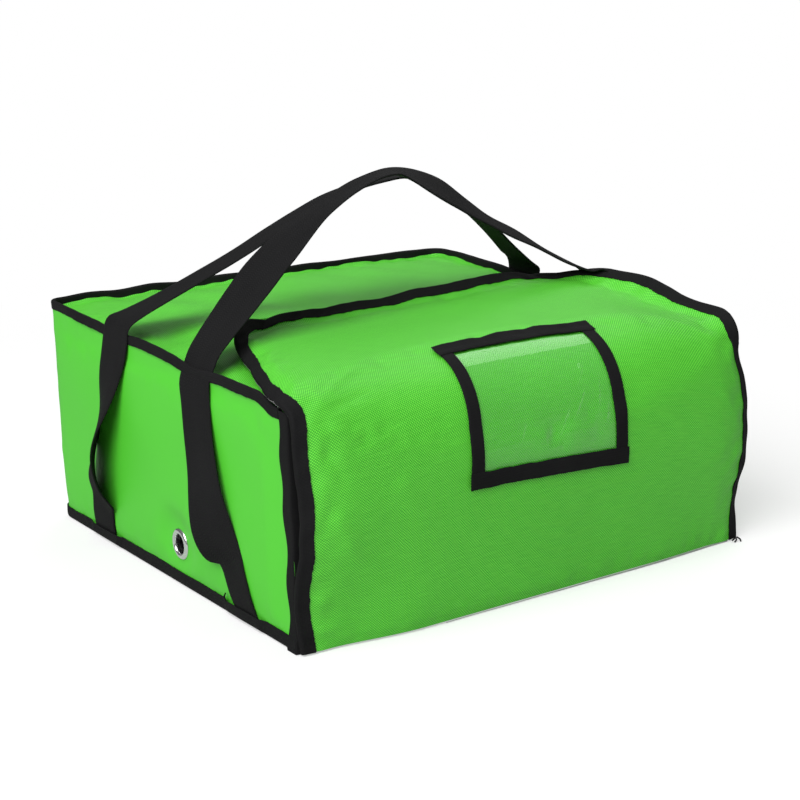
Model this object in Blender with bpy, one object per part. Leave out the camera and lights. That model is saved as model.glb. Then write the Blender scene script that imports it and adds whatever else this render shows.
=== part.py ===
# Insulated food delivery bag with a wrap-over front flap, two webbing handles and a clear ticket window.
# Metres, +Z up. X runs along the front, -Y is the front, and the origin is the middle of the base.

import math

import bmesh
import bpy
from mathutils import Vector

# Overall sizes of the sewn box; the height is over its standing top seam
bag_width = 0.457
bag_depth = 0.457
bag_height = 0.203
corner_radius = 0.009

# Sheet goods, and the clearance between neighbouring pieces
fabric_thickness = 0.001
foam_thickness = 0.008
liner_thickness = 0.0006
tape_thickness = 0.0008
tape_width = 0.0125
clearance = 0.0003
floor_clearance = 0.0002

# Bound seam that stands up round the top, and the shape of the top panel
seam_rise = 0.0085
seam_dip = 0.006
seam_dip_run = 0.035
mouth_sag = 0.008
seam_back_rise = 0.011

# Front flap; the gaps lie between its lining and the level of the top panel's edge
flap_stand_off = 0.0064
flap_belly = 0.010
belly_edge_loss_share = 0.6
bend_side_radius = 0.024
bend_middle_radius = 0.045
shoulder_side_gap = 0.0053
shoulder_middle_gap = 0.0108
free_edge_gap = 0.0148
top_flap_reach = 0.2035
free_edge_half = 0.150
free_corner_radius = 0.080

# Hook-and-loop closure
closure_length = 0.200
closure_width = 0.025
closure_thickness = 0.0014
closure_setback = 0.1685

# Ticket window on the flap
window_middle_x = 0.0095
window_width = 0.163
window_height_on_front = 0.097
window_reach_on_top = 0.0335
window_tape_thickness = 0.0009
pane_thickness = 0.0005
pane_lap = 0.005

# Webbing of the straps and handles
webbing_width = 0.050
webbing_thickness = 0.0016
front_strap_top_y = -0.075
front_strap_foot_y = -0.140
back_strap_top_y = 0.070
back_strap_foot_y = 0.123
strap_sewn_height = 0.045
front_strap_bow = 0.004
back_strap_bow = 0.010
handle_pivot_x = 0.2057
front_handle_rise = 0.1385
back_handle_rise = 0.1235
back_handle_peak_x = 0.034
handle_side_gap = 0.0008

# Fineness of the curved pieces
panel_parts = 10
corner_turns = 14
path_steps = 3
strip_columns = 8
pane_columns = 8
bar_columns = 1
free_edge_parts = 8
flap_columns = 12
vent_segments = 32

# Vent grommets in the side walls
vent_y = -0.031
vent_z = 0.039
vent_bore_radius = 0.00875
vent_flange_radius = 0.014
vent_flange_height = 0.0022
vent_metal = 0.0009
vent_curl = 0.0024
cutter_overrun = 0.010

# Levels and depths that follow from the sizes above
half_width = bag_width / 2
back_y = bag_depth / 2
front_y = -bag_depth / 2
foam_inset = fabric_thickness + clearance
foam_inner_inset = foam_inset + foam_thickness
liner_inset = foam_inner_inset + clearance
wall_depth = liner_inset + liner_thickness
panel_z = bag_height - seam_rise
seam_core_z = bag_height - tape_thickness - clearance
mouth_edge_y = front_y + tape_thickness + clearance
seam_front_y = front_y + tape_width + clearance
rim_z = floor_clearance + tape_thickness + clearance
base_foam_z = rim_z + fabric_thickness + clearance
wall_foam_z = base_foam_z + foam_thickness + clearance
base_liner_z = wall_foam_z
wall_liner_z = base_liner_z + liner_thickness + clearance
top_foam_z = panel_z - fabric_thickness - clearance - foam_thickness
wall_foam_top_z = top_foam_z - clearance
top_liner_z = top_foam_z - clearance - liner_thickness
wall_liner_top_z = top_liner_z - clearance
base_tape_z = floor_clearance + tape_width
top_tape_foot_z = bag_height - tape_width
hollow_half = half_width - wall_depth

flap_thickness = wall_depth
flap_face_y = front_y - flap_stand_off - flap_thickness
free_edge_y = front_y + top_flap_reach
closure_y = front_y + closure_setback
shoulder_side_height = panel_z + flap_thickness + shoulder_side_gap
shoulder_middle_height = panel_z + flap_thickness + shoulder_middle_gap
free_edge_height = panel_z + flap_thickness + free_edge_gap
window_foot_z = bag_height - window_height_on_front
window_top_y = front_y + window_reach_on_top
flap_foot_z = fabric_thickness + clearance
flap_half = half_width + tape_thickness - clearance
edge_inset = tape_thickness + clearance
bend_mean_radius = (bend_side_radius + bend_middle_radius) / 2
front_run = shoulder_side_height - bend_mean_radius - flap_foot_z
bend_run = math.pi / 2 * bend_mean_radius
top_run = free_edge_y - flap_face_y - bend_mean_radius
split_run = front_run + bend_run / 2
flap_run = front_run + bend_run + top_run
window_proud = 2 * clearance + pane_thickness + window_tape_thickness

hinge_y = flap_face_y - flap_belly - window_proud - clearance
bend_share = (math.sqrt(2) - 1) / math.sqrt(2)
bend_proud = (edge_inset + clearance) / math.sqrt(2)
unroll_y = flap_face_y + bend_share * bend_side_radius - bend_proud
unroll_z = shoulder_side_height - bend_share * bend_side_radius + bend_proud

strap_x = half_width + clearance + webbing_thickness / 2
shoulder_x = strap_x + tape_thickness + clearance
strap_shoulder_z = bag_height + webbing_thickness
rise_start_y = back_strap_top_y + webbing_width
rise_end_y = back_y - 2 * corner_radius

# Path of a handle from its peak down to the shoulder: share of the half span, share of the rise,
# and share of the lean towards the other handle
handle_path_shares = (
    (0.0, 1.0, 1.0),
    (0.08, 0.975, 0.995),
    (0.2, 0.908, 0.935),
    (0.4, 0.765, 0.71),
    (0.538, 0.632, 0.51),
    (0.652, 0.475, 0.335),
    (0.795, 0.288, 0.16),
    (0.892, 0.172, 0.07),
    (0.962, 0.082, 0.02),
    (0.99, 0.033, 0.0),
    (1.0, 0.0, 0.0),
)
# Loose part of a side strap: share of the height between the stitching and the shoulder, share of the bow
strap_bow_shares = ((0.0, 0.0), (0.1, 0.35), (0.25, 0.95), (0.4, 1.0), (0.6, 0.6), (0.8, 0.18), (0.92, 0.0))

green = (0.10, 0.62, 0.06)
black = (0.02, 0.02, 0.022)
silver = (0.72, 0.73, 0.74)
foam_white = (0.88, 0.88, 0.86)
chrome = (0.80, 0.80, 0.82)
clear_vinyl = (0.80, 0.86, 0.80)

for old in list(bpy.data.objects):
    bpy.data.objects.remove(old, do_unlink=True)


def finish(name, colour, roughness, metallic=0.0):
    look = bpy.data.materials.new(name)
    look.use_nodes = True
    shader = look.node_tree.nodes["Principled BSDF"]
    shader.inputs["Base Color"].default_value = (*colour, 1.0)
    shader.inputs["Roughness"].default_value = roughness
    shader.inputs["Metallic"].default_value = metallic
    return look


def joint_empty(name, place, parent=None):
    empty = bpy.data.objects.new(name, None)
    bpy.context.scene.collection.objects.link(empty)
    empty.parent = parent
    start = Vector(parent["axis_place"]) if parent else Vector()
    empty.location = Vector(place) - start
    empty["axis_place"] = tuple(place)
    return empty


def add_piece(name, shape, look, parent=None, origin=None, smooth=False):
    """Turns a bmesh in world coordinates into a named object with its origin on its joint, or at origin."""
    bmesh.ops.recalc_face_normals(shape, faces=shape.faces[:])
    carrier = Vector(parent["axis_place"]) if parent else Vector()
    place = Vector(origin) if origin else carrier.copy()
    bmesh.ops.translate(shape, verts=shape.verts[:], vec=-place)
    mesh = bpy.data.meshes.new(name)
    shape.to_mesh(mesh)
    shape.free()
    if smooth:
        mesh.shade_smooth()
        mesh.set_sharp_from_angle(angle=math.radians(40))
    piece = bpy.data.objects.new(name, mesh)
    bpy.context.scene.collection.objects.link(piece)
    piece.parent = parent
    piece.location = place - carrier
    mesh.materials.append(look)
    return piece


def skin_sections(sections):
    """Closed solid through polygons that follow each other, with both ends capped."""
    shape = bmesh.new()
    rings = [[shape.verts.new(point) for point in section] for section in sections]
    for ring, following in zip(rings, rings[1:]):
        for k in range(len(ring)):
            after = (k + 1) % len(ring)
            shape.faces.new((ring[k], ring[after], following[after], following[k]))
    shape.faces.new(rings[0])
    shape.faces.new(rings[-1])
    return shape


def skin_grids(lower, upper):
    """Closed solid between two grids of points with the same rows and columns."""
    shape = bmesh.new()
    below = [[shape.verts.new(point) for point in row] for row in lower]
    above = [[shape.verts.new(point) for point in row] for row in upper]
    rows = len(below)
    columns = len(below[0])
    for grid in (below, above):
        for i in range(rows - 1):
            for j in range(columns - 1):
                shape.faces.new((grid[i][j], grid[i][j + 1], grid[i + 1][j + 1], grid[i + 1][j]))
    for j in range(columns - 1):
        for i in (0, rows - 1):
            shape.faces.new((below[i][j], below[i][j + 1], above[i][j + 1], above[i][j]))
    for i in range(rows - 1):
        for j in (0, columns - 1):
            shape.faces.new((below[i][j], below[i + 1][j], above[i + 1][j], above[i][j]))
    return shape


def extrude_outline(outline, low_z, high_z):
    """Upright prism of a plan outline."""
    return skin_sections([[(x, y, low_z) for x, y in outline], [(x, y, high_z) for x, y in outline]])


def smooth_path(points, steps):
    """Points of a Catmull-Rom curve through the given points, each a tuple of coordinates."""
    ends = [points[0]] + list(points) + [points[-1]]
    path = []
    for a, b, c, d in zip(ends, ends[1:], ends[2:], ends[3:]):
        for step in range(steps):
            t = step / steps
            path.append(
                tuple(
                    0.5 * (2 * q + (r - p) * t + (2 * p - 5 * q + 4 * r - s) * t**2 + (3 * q - p - 3 * r + s) * t**3)
                    for p, q, r, s in zip(a, b, c, d)
                )
            )
    path.append(tuple(points[-1]))
    return path


# Sewn box


def smooth_step(t):
    t = min(1.0, max(0.0, t))
    return t * t * (3 - 2 * t)


def wall_run(inset, start_y, lead=(), runs=16, turns=5):
    """Plan line of the left wall from the front to the back and round the back corner."""
    x = half_width - inset
    y = back_y - inset
    radius = max(corner_radius - inset, clearance)
    points = [(-x, lead_y) for lead_y in lead]
    points += [(-x, start_y + (y - radius - start_y) * i / runs) for i in range(runs)]
    for i in range(turns + 1):
        turn = math.pi / 2 * i / turns
        points.append((-x + radius * (1 - math.cos(turn)), y - radius * (1 - math.sin(turn))))
    return points


def seam_drop(y):
    """How far the bound top seam is pressed down near the mouth, where the flap lies over it."""
    return seam_dip * smooth_step((seam_front_y + seam_dip_run - y) / seam_dip_run)


def top_level(y, z):
    """Height z at a place along the bag, where the upper half climbs with the seam behind the back straps."""
    share = min(1.0, max(0.0, (y - rise_start_y) / (rise_end_y - rise_start_y)))
    return z + seam_back_rise * share * (z > bag_height / 2)


def sweep_round(profile, start_y, lead=()):
    """Solid swept along the left, back and right walls; profile gives inset, height and seam drop flag."""
    left = [wall_run(inset, start_y, lead) for inset, _, _ in profile]
    sections = []
    for i in range(len(left[0])):
        row = []
        for line, (_, z, drops) in zip(left, profile):
            x, y = line[i]
            row.append((x, y, top_level(y, z) - seam_drop(y) * drops))
        sections.append(row)
    mirrored = [[(-x, y, z) for x, y, z in row] for row in sections]
    return skin_sections(sections + mirrored[::-1])


def panel_lift(x, y):
    """Height of the top panel's swell over its edges: crowned under the closure, sagging at the mouth."""
    across = max(0.0, 1 - (x / hollow_half) ** 2)
    if y < closure_y:
        along = -mouth_sag + (top_crown + mouth_sag) * smooth_step((y - seam_front_y) / (closure_y - seam_front_y))
    else:
        along = top_crown * max(0.0, 1 - ((y - closure_y) / (hollow_half - closure_y)) ** 2)
    return across * along


def flat(x, y):
    return 0.0


def rim_drop(y):
    """The bottom panel's rim lies over its binding, and comes down flat under the flap's foot."""
    return rim_z if y < front_y - clearance else 0.0


def panel_columns(end):
    """Places across the top panel's columns: its two ends, and even steps across the hollow."""
    inner = min(hollow_half, end - clearance)
    return [-end] + [inner * (2 * j / panel_parts - 1) for j in range(panel_parts + 1)] + [end]


def tray(rings, start_y, lift=flat, swells=False, drop=seam_drop, lead=()):
    """Panel with turned edges: rings of inset, height and drop flag, from its underside to its upper side."""
    shape = bmesh.new()
    rows = []
    for number, (inset, z, drops) in enumerate(rings):
        filled = number in (0, len(rings) - 1)
        grid = []
        for x, y in wall_run(inset, start_y, lead):
            places = panel_columns(-x) if filled and swells else [x, -x]
            level = top_level(y, z) - drop(y) * drops
            grid.append([shape.verts.new((p, y, level + lift(p, y))) for p in places])
        rows.append(grid)
        if filled:
            for near, far in zip(grid, grid[1:]):
                for j in range(len(near) - 1):
                    shape.faces.new((near[j], near[j + 1], far[j + 1], far[j]))
    for lower, upper in zip(rows, rows[1:]):
        for i in range(len(lower) - 1):
            for end in (0, -1):
                shape.faces.new((lower[i][end], lower[i + 1][end], upper[i + 1][end], upper[i][end]))
        shape.faces.new(lower[-1] + upper[-1][::-1])
    right_side = [grid[0][-1] for grid in rows[1:-1]]
    left_side = [grid[0][0] for grid in rows[1:-1]]
    shape.faces.new(rows[0][0] + right_side + rows[-1][0][::-1] + left_side[::-1])
    return shape


# Flap, mapped from its flat pattern: x across, run up the front from the foot and over the bend


def flap_face(x, run):
    """Point of the flap's outer face."""
    across = abs(x) / flap_half
    crown = 1 - across**2
    radius = bend_side_radius + (bend_middle_radius - bend_side_radius) * crown
    shoulder_z = shoulder_side_height + (shoulder_middle_height - shoulder_side_height) * crown
    if run <= front_run:
        share = run / front_run
        swell = flap_belly * (1 - belly_edge_loss_share * across**2) * math.sin(math.pi * share) ** 2
        return Vector((x, flap_face_y - swell, flap_foot_z + (shoulder_z - radius - flap_foot_z) * share))
    if run <= front_run + bend_run:
        turn = math.pi / 2 * (run - front_run) / bend_run
        y = flap_face_y + radius * (1 - math.cos(turn))
        return Vector((x, y, shoulder_z - radius * (1 - math.sin(turn))))
    share = (run - front_run - bend_run) / top_run
    start_y = flap_face_y + radius
    z = shoulder_z + (free_edge_height - shoulder_z) * smooth_step(share)
    return Vector((x, start_y + (free_edge_y - start_y) * share, z))


def flap_point(x, run, out=0.0):
    """Point at a distance out from the flap's outer face, negative inwards."""
    reach = clearance
    along_x = flap_face(x + reach, run) - flap_face(x - reach, run)
    along_run = flap_face(x, run + reach) - flap_face(x, run - reach)
    return flap_face(x, run) + along_x.cross(along_run).normalized() * out


def side_half(run, inset=0.0):
    """Half width of the top part of the flap's pattern on its straight, tapering sides."""
    share = (run - split_run) / (flap_run - split_run)
    return flap_half + (free_edge_half - flap_half) * share - inset


taper_slope = (flap_half - free_edge_half) / (flap_run - split_run)
taper_angle = math.atan(taper_slope)
corner_run = flap_run - free_corner_radius
corner_x = side_half(corner_run) - free_corner_radius / math.cos(taper_angle)


def outline_half(run, inset):
    """Half width of the flap's pattern at a run, with rounded free corners, inset from its edge."""
    if run <= split_run:
        return flap_half - inset
    tangent_run = corner_run + (free_corner_radius - inset) * math.sin(taper_angle)
    if run <= tangent_run:
        return side_half(run) - inset / math.cos(taper_angle)
    rise = min(run - corner_run, free_corner_radius - inset)
    return corner_x + math.sqrt((free_corner_radius - inset) ** 2 - rise**2)


def flap_rows(start_run, end_run, count):
    return [start_run + (end_run - start_run) * i / count for i in range(count + 1)]


front_rows = flap_rows(0.0, front_run, 14) + flap_rows(front_run, split_run - clearance, 5)[1:]
bend_rows = flap_rows(split_run + clearance, front_run + bend_run, 9)
top_rows = bend_rows + flap_rows(front_run + bend_run, corner_run, 6)[1:]


def rounded_rows(inset):
    """Runs of the top part's rows: even up to the free corners, then closing up round them."""
    reach = free_corner_radius - inset
    turns = [math.pi / 2 * i / corner_turns for i in range(1, corner_turns + 1)]
    return top_rows + [corner_run + reach * math.sin(turn) for turn in turns]


def rows_between(low, high):
    """Runs of the rows that a patch shares with the layers under it, with its own two ends."""
    inner = [run for run in front_rows + top_rows if low + clearance < run < high - clearance]
    return [low] + inner + [high]


def flap_layer(rows, inset, near, far, columns=flap_columns):
    """One layer of the flap between two depths below its outer face."""
    grids = []
    for out in (-near, -far):
        grid = []
        for run in rows:
            half = outline_half(run, inset)
            inner = half - tape_width
            places = [-half] + [inner * (2 * j / columns - 1) for j in range(columns + 1)] + [half]
            grid.append([flap_point(x, run, out) for x in places])
        grids.append(grid)
    return skin_grids(grids[1], grids[0])


def flap_patch(low_x, high_x, low_run, high_run, near, far, columns):
    """Rectangular patch on the flap between two distances out from its face."""
    grids = []
    for out in (near, far):
        grid = []
        for run in rows_between(low_run, high_run):
            grid.append([flap_point(low_x + (high_x - low_x) * j / columns, run, out) for j in range(columns + 1)])
        grids.append(grid)
    return skin_grids(grids[0], grids[1])


def edge_tape(stations):
    """Folded tape round an edge of the flap; each station is a point of its pattern and the way in."""
    inner = -flap_thickness - clearance
    outer = clearance
    profile = (
        (0.0, outer + tape_thickness),
        (tape_width, outer + tape_thickness),
        (tape_width, outer),
        (tape_thickness, outer),
        (tape_thickness, inner),
        (tape_width, inner),
        (tape_width, inner - tape_thickness),
        (0.0, inner - tape_thickness),
    )
    sections = []
    for (x, run), (way_x, way_run) in stations:
        sections.append([flap_point(x + depth * way_x, run + depth * way_run, out) for depth, out in profile])
    return skin_sections(sections)


def run_at_y(y):
    """Run of the middle of the flap's top part at a given depth of the bag."""
    start_y = flap_face_y + bend_middle_radius
    return front_run + bend_run + (y - start_y) / (free_edge_y - start_y) * top_run


def run_at_z(z):
    """Run of the middle of the flap's front at a given height."""
    return (z - flap_foot_z) / (shoulder_middle_height - bend_middle_radius - flap_foot_z) * front_run


closure_run = run_at_y(closure_y)
flap_under_z = flap_point(0.0, closure_run, -flap_thickness).z
top_crown = flap_under_z - 3 * clearance - 2 * closure_thickness - panel_z

fabric_look = finish("green_fabric", green, 0.62)
webbing_look = finish("black_webbing", black, 0.7)
tape_look = finish("black_tape", black, 0.6)
liner_look = finish("silver_liner", silver, 0.35, 0.6)
foam_look = finish("white_foam", foam_white, 0.9)
metal_look = finish("chrome", chrome, 0.2, 1.0)
hook_look = finish("hook_and_loop", black, 0.95)
vinyl_look = finish("clear_vinyl", clear_vinyl, 0.1)

flap_axis = joint_empty("flap_hinge_axis", (0, hinge_y, 0))
unroll_axis = joint_empty("flap_unroll_axis", (0, unroll_y, unroll_z), flap_axis)

# Outer fabric: bottom panel, wall that wraps round the back corners, and top panel with its turned-up rim
step_inset = tape_width + clearance
bottom_rings = (
    (step_inset + fabric_thickness, 0.0, 0),
    (step_inset, rim_z, 1),
    (0.0, rim_z, 1),
    (0.0, rim_z + fabric_thickness, 1),
    (step_inset, rim_z + fabric_thickness, 1),
    (step_inset + fabric_thickness, fabric_thickness, 0),
)
tongue = (flap_face_y, front_y - clearance - rim_z - fabric_thickness)
bottom_panel = tray(bottom_rings, front_y - clearance, drop=rim_drop, lead=tongue)
add_piece("bottom_fabric", bottom_panel, fabric_look)

wall_profile = (
    (0.0, base_foam_z, 0),
    (fabric_thickness, base_foam_z, 0),
    (fabric_thickness, seam_core_z, 1),
    (0.0, seam_core_z, 1),
)
mouth_strip = (mouth_edge_y,)
outer_wall = sweep_round(wall_profile, seam_front_y, mouth_strip)
wall_fabric = add_piece("wall_fabric", outer_wall, fabric_look)

rim_inset = foam_inset + fabric_thickness
top_rings = (
    (foam_inset, panel_z - fabric_thickness, 0),
    (foam_inset, seam_core_z, 1),
    (rim_inset, seam_core_z, 1),
    (rim_inset, panel_z, 0),
)
top_panel = tray(top_rings, seam_front_y, panel_lift, True, lead=mouth_strip)
add_piece("top_fabric", top_panel, fabric_look)

# Foam boards
board_inner = half_width - foam_inner_inset


def side_board(side):
    """Foam board of a side wall; side is -1 for the left and 1 for the right."""
    sections = []
    for x, y in wall_run(foam_inset, seam_front_y, mouth_strip):
        head_z = top_level(y, wall_foam_top_z)
        corners = ((x, wall_foam_z), (-board_inner, wall_foam_z), (-board_inner, head_z), (x, head_z))
        sections.append([(-side * across, y, z) for across, z in corners])
    return skin_sections(sections)


left_foam = add_piece("left_foam", side_board(-1), foam_look)
right_foam = add_piece("right_foam", side_board(1), foam_look)
back_half = board_inner - clearance
back_outline = [
    (-back_half, back_y - foam_inner_inset),
    (back_half, back_y - foam_inner_inset),
    (back_half, back_y - foam_inset),
    (-back_half, back_y - foam_inset),
]
add_piece("back_foam", extrude_outline(back_outline, wall_foam_z, wall_foam_top_z + seam_back_rise), foam_look)
base_foam_rings = ((foam_inset, base_foam_z, 0), (foam_inset, base_foam_z + foam_thickness, 0))
add_piece("bottom_foam", tray(base_foam_rings, mouth_edge_y), foam_look)
top_foam_rings = ((foam_inset, top_foam_z, 0), (foam_inset, top_foam_z + foam_thickness, 0))
top_board = tray(top_foam_rings, seam_front_y, panel_lift, True, lead=mouth_strip)
add_piece("top_foam", top_board, foam_look)

# Foil liner
liner_profile = (
    (liner_inset, wall_liner_z, 0),
    (wall_depth, wall_liner_z, 0),
    (wall_depth, wall_liner_top_z, 0),
    (liner_inset, wall_liner_top_z, 0),
)
wall_liner = add_piece("wall_liner", sweep_round(liner_profile, seam_front_y, mouth_strip), liner_look)
base_liner_rings = ((liner_inset, base_liner_z, 0), (liner_inset, base_liner_z + liner_thickness, 0))
add_piece("bottom_liner", tray(base_liner_rings, mouth_edge_y), liner_look)
top_liner_rings = ((liner_inset, top_liner_z, 0), (liner_inset, top_liner_z + liner_thickness, 0))
top_lining = tray(top_liner_rings, seam_front_y, panel_lift, True, lead=mouth_strip)
add_piece("top_liner", top_lining, liner_look)

# Binding tape: a channel over the standing top seam, an angle round the bottom edge, channels round the mouth
outside = -clearance - tape_thickness
top_tape_profile = (
    (outside, top_tape_foot_z, 0),
    (-clearance, top_tape_foot_z, 0),
    (-clearance, bag_height - tape_thickness, 1),
    (rim_inset + clearance, bag_height - tape_thickness, 1),
    (rim_inset + clearance, panel_z + clearance, 0),
    (rim_inset + clearance + tape_thickness, panel_z + clearance, 0),
    (rim_inset + clearance + tape_thickness, bag_height, 1),
    (outside, bag_height, 1),
)
add_piece("top_binding", sweep_round(top_tape_profile, seam_front_y), tape_look)
base_tape_profile = (
    (outside, floor_clearance, 0),
    (tape_width - tape_thickness, floor_clearance, 0),
    (tape_width - tape_thickness, floor_clearance + tape_thickness, 0),
    (-clearance, floor_clearance + tape_thickness, 0),
    (-clearance, base_tape_z, 0),
    (outside, base_tape_z, 0),
)
add_piece("bottom_binding", sweep_round(base_tape_profile, front_y), tape_look)

# Depth along Y and distance in from the outer face, for a channel round the mouth's edge
mouth_profile = (
    (front_y, outside),
    (front_y + tape_width, outside),
    (front_y + tape_width, -clearance),
    (front_y + tape_thickness, -clearance),
    (front_y + tape_thickness, wall_depth + clearance),
    (front_y + tape_width, wall_depth + clearance),
    (front_y + tape_width, wall_depth + clearance + tape_thickness),
    (front_y, wall_depth + clearance + tape_thickness),
)
mouth_foot_z = base_tape_z + clearance


def upright_head(depth):
    """Height at which the mouth's side tape ends: beside the standing seam, mitred further in."""
    return bag_height - seam_dip if depth < rim_inset else panel_z - depth - 2 * clearance


def lintel_end(depth):
    return half_width - clearance - max(depth, rim_inset)


for name, side in (("mouth_left_binding", -1), ("mouth_right_binding", 1)):
    foot = [(side * (half_width - depth), y, mouth_foot_z) for y, depth in mouth_profile]
    head = [(side * (half_width - depth), y, upright_head(depth)) for y, depth in mouth_profile]
    add_piece(name, skin_sections([foot, head]), tape_look)
lintel_lines = []
for y, depth in mouth_profile:
    places = panel_columns(lintel_end(depth))
    lintel_lines.append([(x, y, panel_z - depth + panel_lift(x, mouth_edge_y)) for x in places])
lintel = list(zip(*lintel_lines))
add_piece("mouth_top_binding", skin_sections(lintel), tape_look)

# Vents: grommets through both side walls, each with a washer inside
vent_profile = (
    (vent_bore_radius, vent_flange_height / 2),
    (vent_bore_radius + vent_metal, vent_flange_height),
    ((vent_bore_radius + vent_flange_radius) / 2, vent_flange_height + clearance),
    (vent_flange_radius - vent_metal / 2, vent_flange_height * 2 / 3),
    (vent_flange_radius, clearance),
    (vent_bore_radius + vent_metal, clearance),
    (vent_bore_radius + vent_metal, -wall_depth - 3 * clearance - vent_metal),
    (vent_bore_radius + vent_curl, -wall_depth - 3 * clearance - vent_metal),
    (vent_bore_radius + vent_curl, -wall_depth - 3 * clearance - 2 * vent_metal),
    (vent_bore_radius, -wall_depth - 3 * clearance - 2 * vent_metal),
)
washer_inner = vent_bore_radius + vent_metal + clearance
washer_profile = (
    (washer_inner, -wall_depth - clearance),
    (vent_flange_radius, -wall_depth - clearance),
    (vent_flange_radius, -wall_depth - clearance - vent_metal),
    (washer_inner, -wall_depth - clearance - vent_metal),
)


def turned_ring(profile, place, side):
    """Ring turned about the vent's axis, which points out of the wall on that side."""
    shape = bmesh.new()
    rings = []
    for k in range(vent_segments):
        turn = 2 * math.pi * k / vent_segments
        ring = []
        for radius, out in profile:
            across = Vector((side * out, radius * math.cos(turn), radius * math.sin(turn)))
            ring.append(shape.verts.new(Vector(place) + across))
        rings.append(ring)
    for k, ring in enumerate(rings):
        following = rings[(k + 1) % vent_segments]
        for i in range(len(ring)):
            after = (i + 1) % len(ring)
            shape.faces.new((ring[i], ring[after], following[after], following[i]))
    return shape


def bore_through(piece, cutter):
    bore = piece.modifiers.new("vent_bore", "BOOLEAN")
    bore.operation = "DIFFERENCE"
    bore.solver = "EXACT"
    bore.object = cutter


for word, side, board in (("left", -1, left_foam), ("right", 1, right_foam)):
    place = (side * half_width, vent_y, vent_z)
    grommet = turned_ring(vent_profile, place, side)
    add_piece(word + "_vent_grommet", grommet, metal_look, origin=place, smooth=True)
    washer = turned_ring(washer_profile, place, side)
    add_piece(word + "_vent_washer", washer, metal_look, origin=place, smooth=True)
    drill = bmesh.new()
    reach = wall_depth + cutter_overrun
    bmesh.ops.create_cone(
        drill, cap_ends=True, segments=vent_segments, radius1=washer_inner, radius2=washer_inner, depth=2 * reach
    )
    cutter = add_piece(word + "_vent_cutter", drill, metal_look)
    cutter.rotation_euler = (0, math.pi / 2, 0)
    cutter.location = place
    cutter.hide_render = True
    cutter.display_type = "WIRE"
    for piece in (wall_fabric, board, wall_liner):
        bore_through(piece, cutter)

# Closure: loop strip sewn to the top panel, hook strip sewn under the flap
strip_grids = []
for out in (clearance, clearance + closure_thickness):
    grid = []
    for y in (closure_y - closure_width / 2, closure_y, closure_y + closure_width / 2):
        places = [closure_length * (j / strip_columns - 1 / 2) for j in range(strip_columns + 1)]
        grid.append([(x, y, panel_z + panel_lift(x, y) + out) for x in places])
    strip_grids.append(grid)
add_piece("loop_strip", skin_grids(strip_grids[0], strip_grids[1]), hook_look)
hook_strip = flap_patch(
    -closure_length / 2,
    closure_length / 2,
    closure_run - closure_width / 2,
    closure_run + closure_width / 2,
    -flap_thickness - clearance - closure_thickness,
    -flap_thickness - clearance,
    strip_columns,
)
add_piece("hook_strip", hook_strip, hook_look, unroll_axis)

# Flap layers: the front part swings on the bottom edge, the top part unrolls at the bend
layer_depths = (
    ("fabric", 0.0, fabric_thickness, fabric_look),
    ("foam", foam_inset, foam_inner_inset, foam_look),
    ("liner", liner_inset, wall_depth, liner_look),
)
for word, near, far, look in layer_depths:
    add_piece("front_flap_" + word, flap_layer(front_rows, edge_inset, near, far), look, flap_axis)
    top_layer = flap_layer(rounded_rows(edge_inset), edge_inset, near, far)
    add_piece("top_flap_" + word, top_layer, look, unroll_axis)

for name, side in (("front_flap_left_binding", -1), ("front_flap_right_binding", 1)):
    stations = [((side * flap_half, run), (-side, 0.0)) for run in front_rows]
    add_piece(name, edge_tape(stations), tape_look, flap_axis)

side_stations = []
for run in top_rows:
    lean = taper_angle * min(1.0, (run - split_run) / (corner_run - split_run))
    side_stations.append(((-side_half(run), run), (math.cos(lean), -math.sin(lean))))
for i in range(corner_turns + 1):
    turn = taper_angle + (math.pi / 2 - taper_angle) * i / corner_turns
    x = corner_x + free_corner_radius * math.cos(turn)
    run = corner_run + free_corner_radius * math.sin(turn)
    side_stations.append(((-x, run), (math.cos(turn), -math.sin(turn))))
for i in range(1, free_edge_parts):
    side_stations.append(((corner_x * (2 * i / free_edge_parts - 1), flap_run), (0.0, -1.0)))
turned = [((-x, run), (-way_x, way_run)) for (x, run), (way_x, way_run) in side_stations[: 1 - free_edge_parts]]
add_piece("top_flap_binding", edge_tape(side_stations + turned[::-1]), tape_look, unroll_axis)

# Ticket window: a clear pane under four tapes, split at the bend
window_low_run = run_at_z(window_foot_z)
window_high_run = run_at_y(window_top_y)
window_left_x = window_middle_x - window_width / 2
window_right_x = window_middle_x + window_width / 2
pane_edge = tape_width - pane_lap
pane_out = clearance + pane_thickness
tape_out = pane_out + clearance
tape_top = tape_out + window_tape_thickness
bar_low_run = window_low_run + tape_width + clearance
bar_high_run = window_high_run - tape_width - clearance
halves = (
    ("front", flap_axis, window_low_run + pane_edge, bar_low_run, split_run - clearance),
    ("top", unroll_axis, split_run + clearance, split_run + clearance, window_high_run - pane_edge),
)
for word, axis, pane_start, bar_start, end_run in halves:
    left_edge = window_left_x + pane_edge
    right_edge = window_right_x - pane_edge
    pane = flap_patch(left_edge, right_edge, pane_start, end_run, clearance, pane_out, pane_columns)
    add_piece("window_pane_" + word, pane, vinyl_look, axis)
    bar_end = min(end_run, bar_high_run)
    left_side = (window_left_x, window_left_x + tape_width)
    left_bar = flap_patch(*left_side, bar_start, bar_end, tape_out, tape_top, bar_columns)
    add_piece("window_left_bar_" + word, left_bar, tape_look, axis)
    right_side = (window_right_x - tape_width, window_right_x)
    right_bar = flap_patch(*right_side, bar_start, bar_end, tape_out, tape_top, bar_columns)
    add_piece("window_right_bar_" + word, right_bar, tape_look, axis)
bottom_bar = flap_patch(
    window_left_x, window_right_x, window_low_run, window_low_run + tape_width, tape_out, tape_top, pane_columns
)
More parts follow.
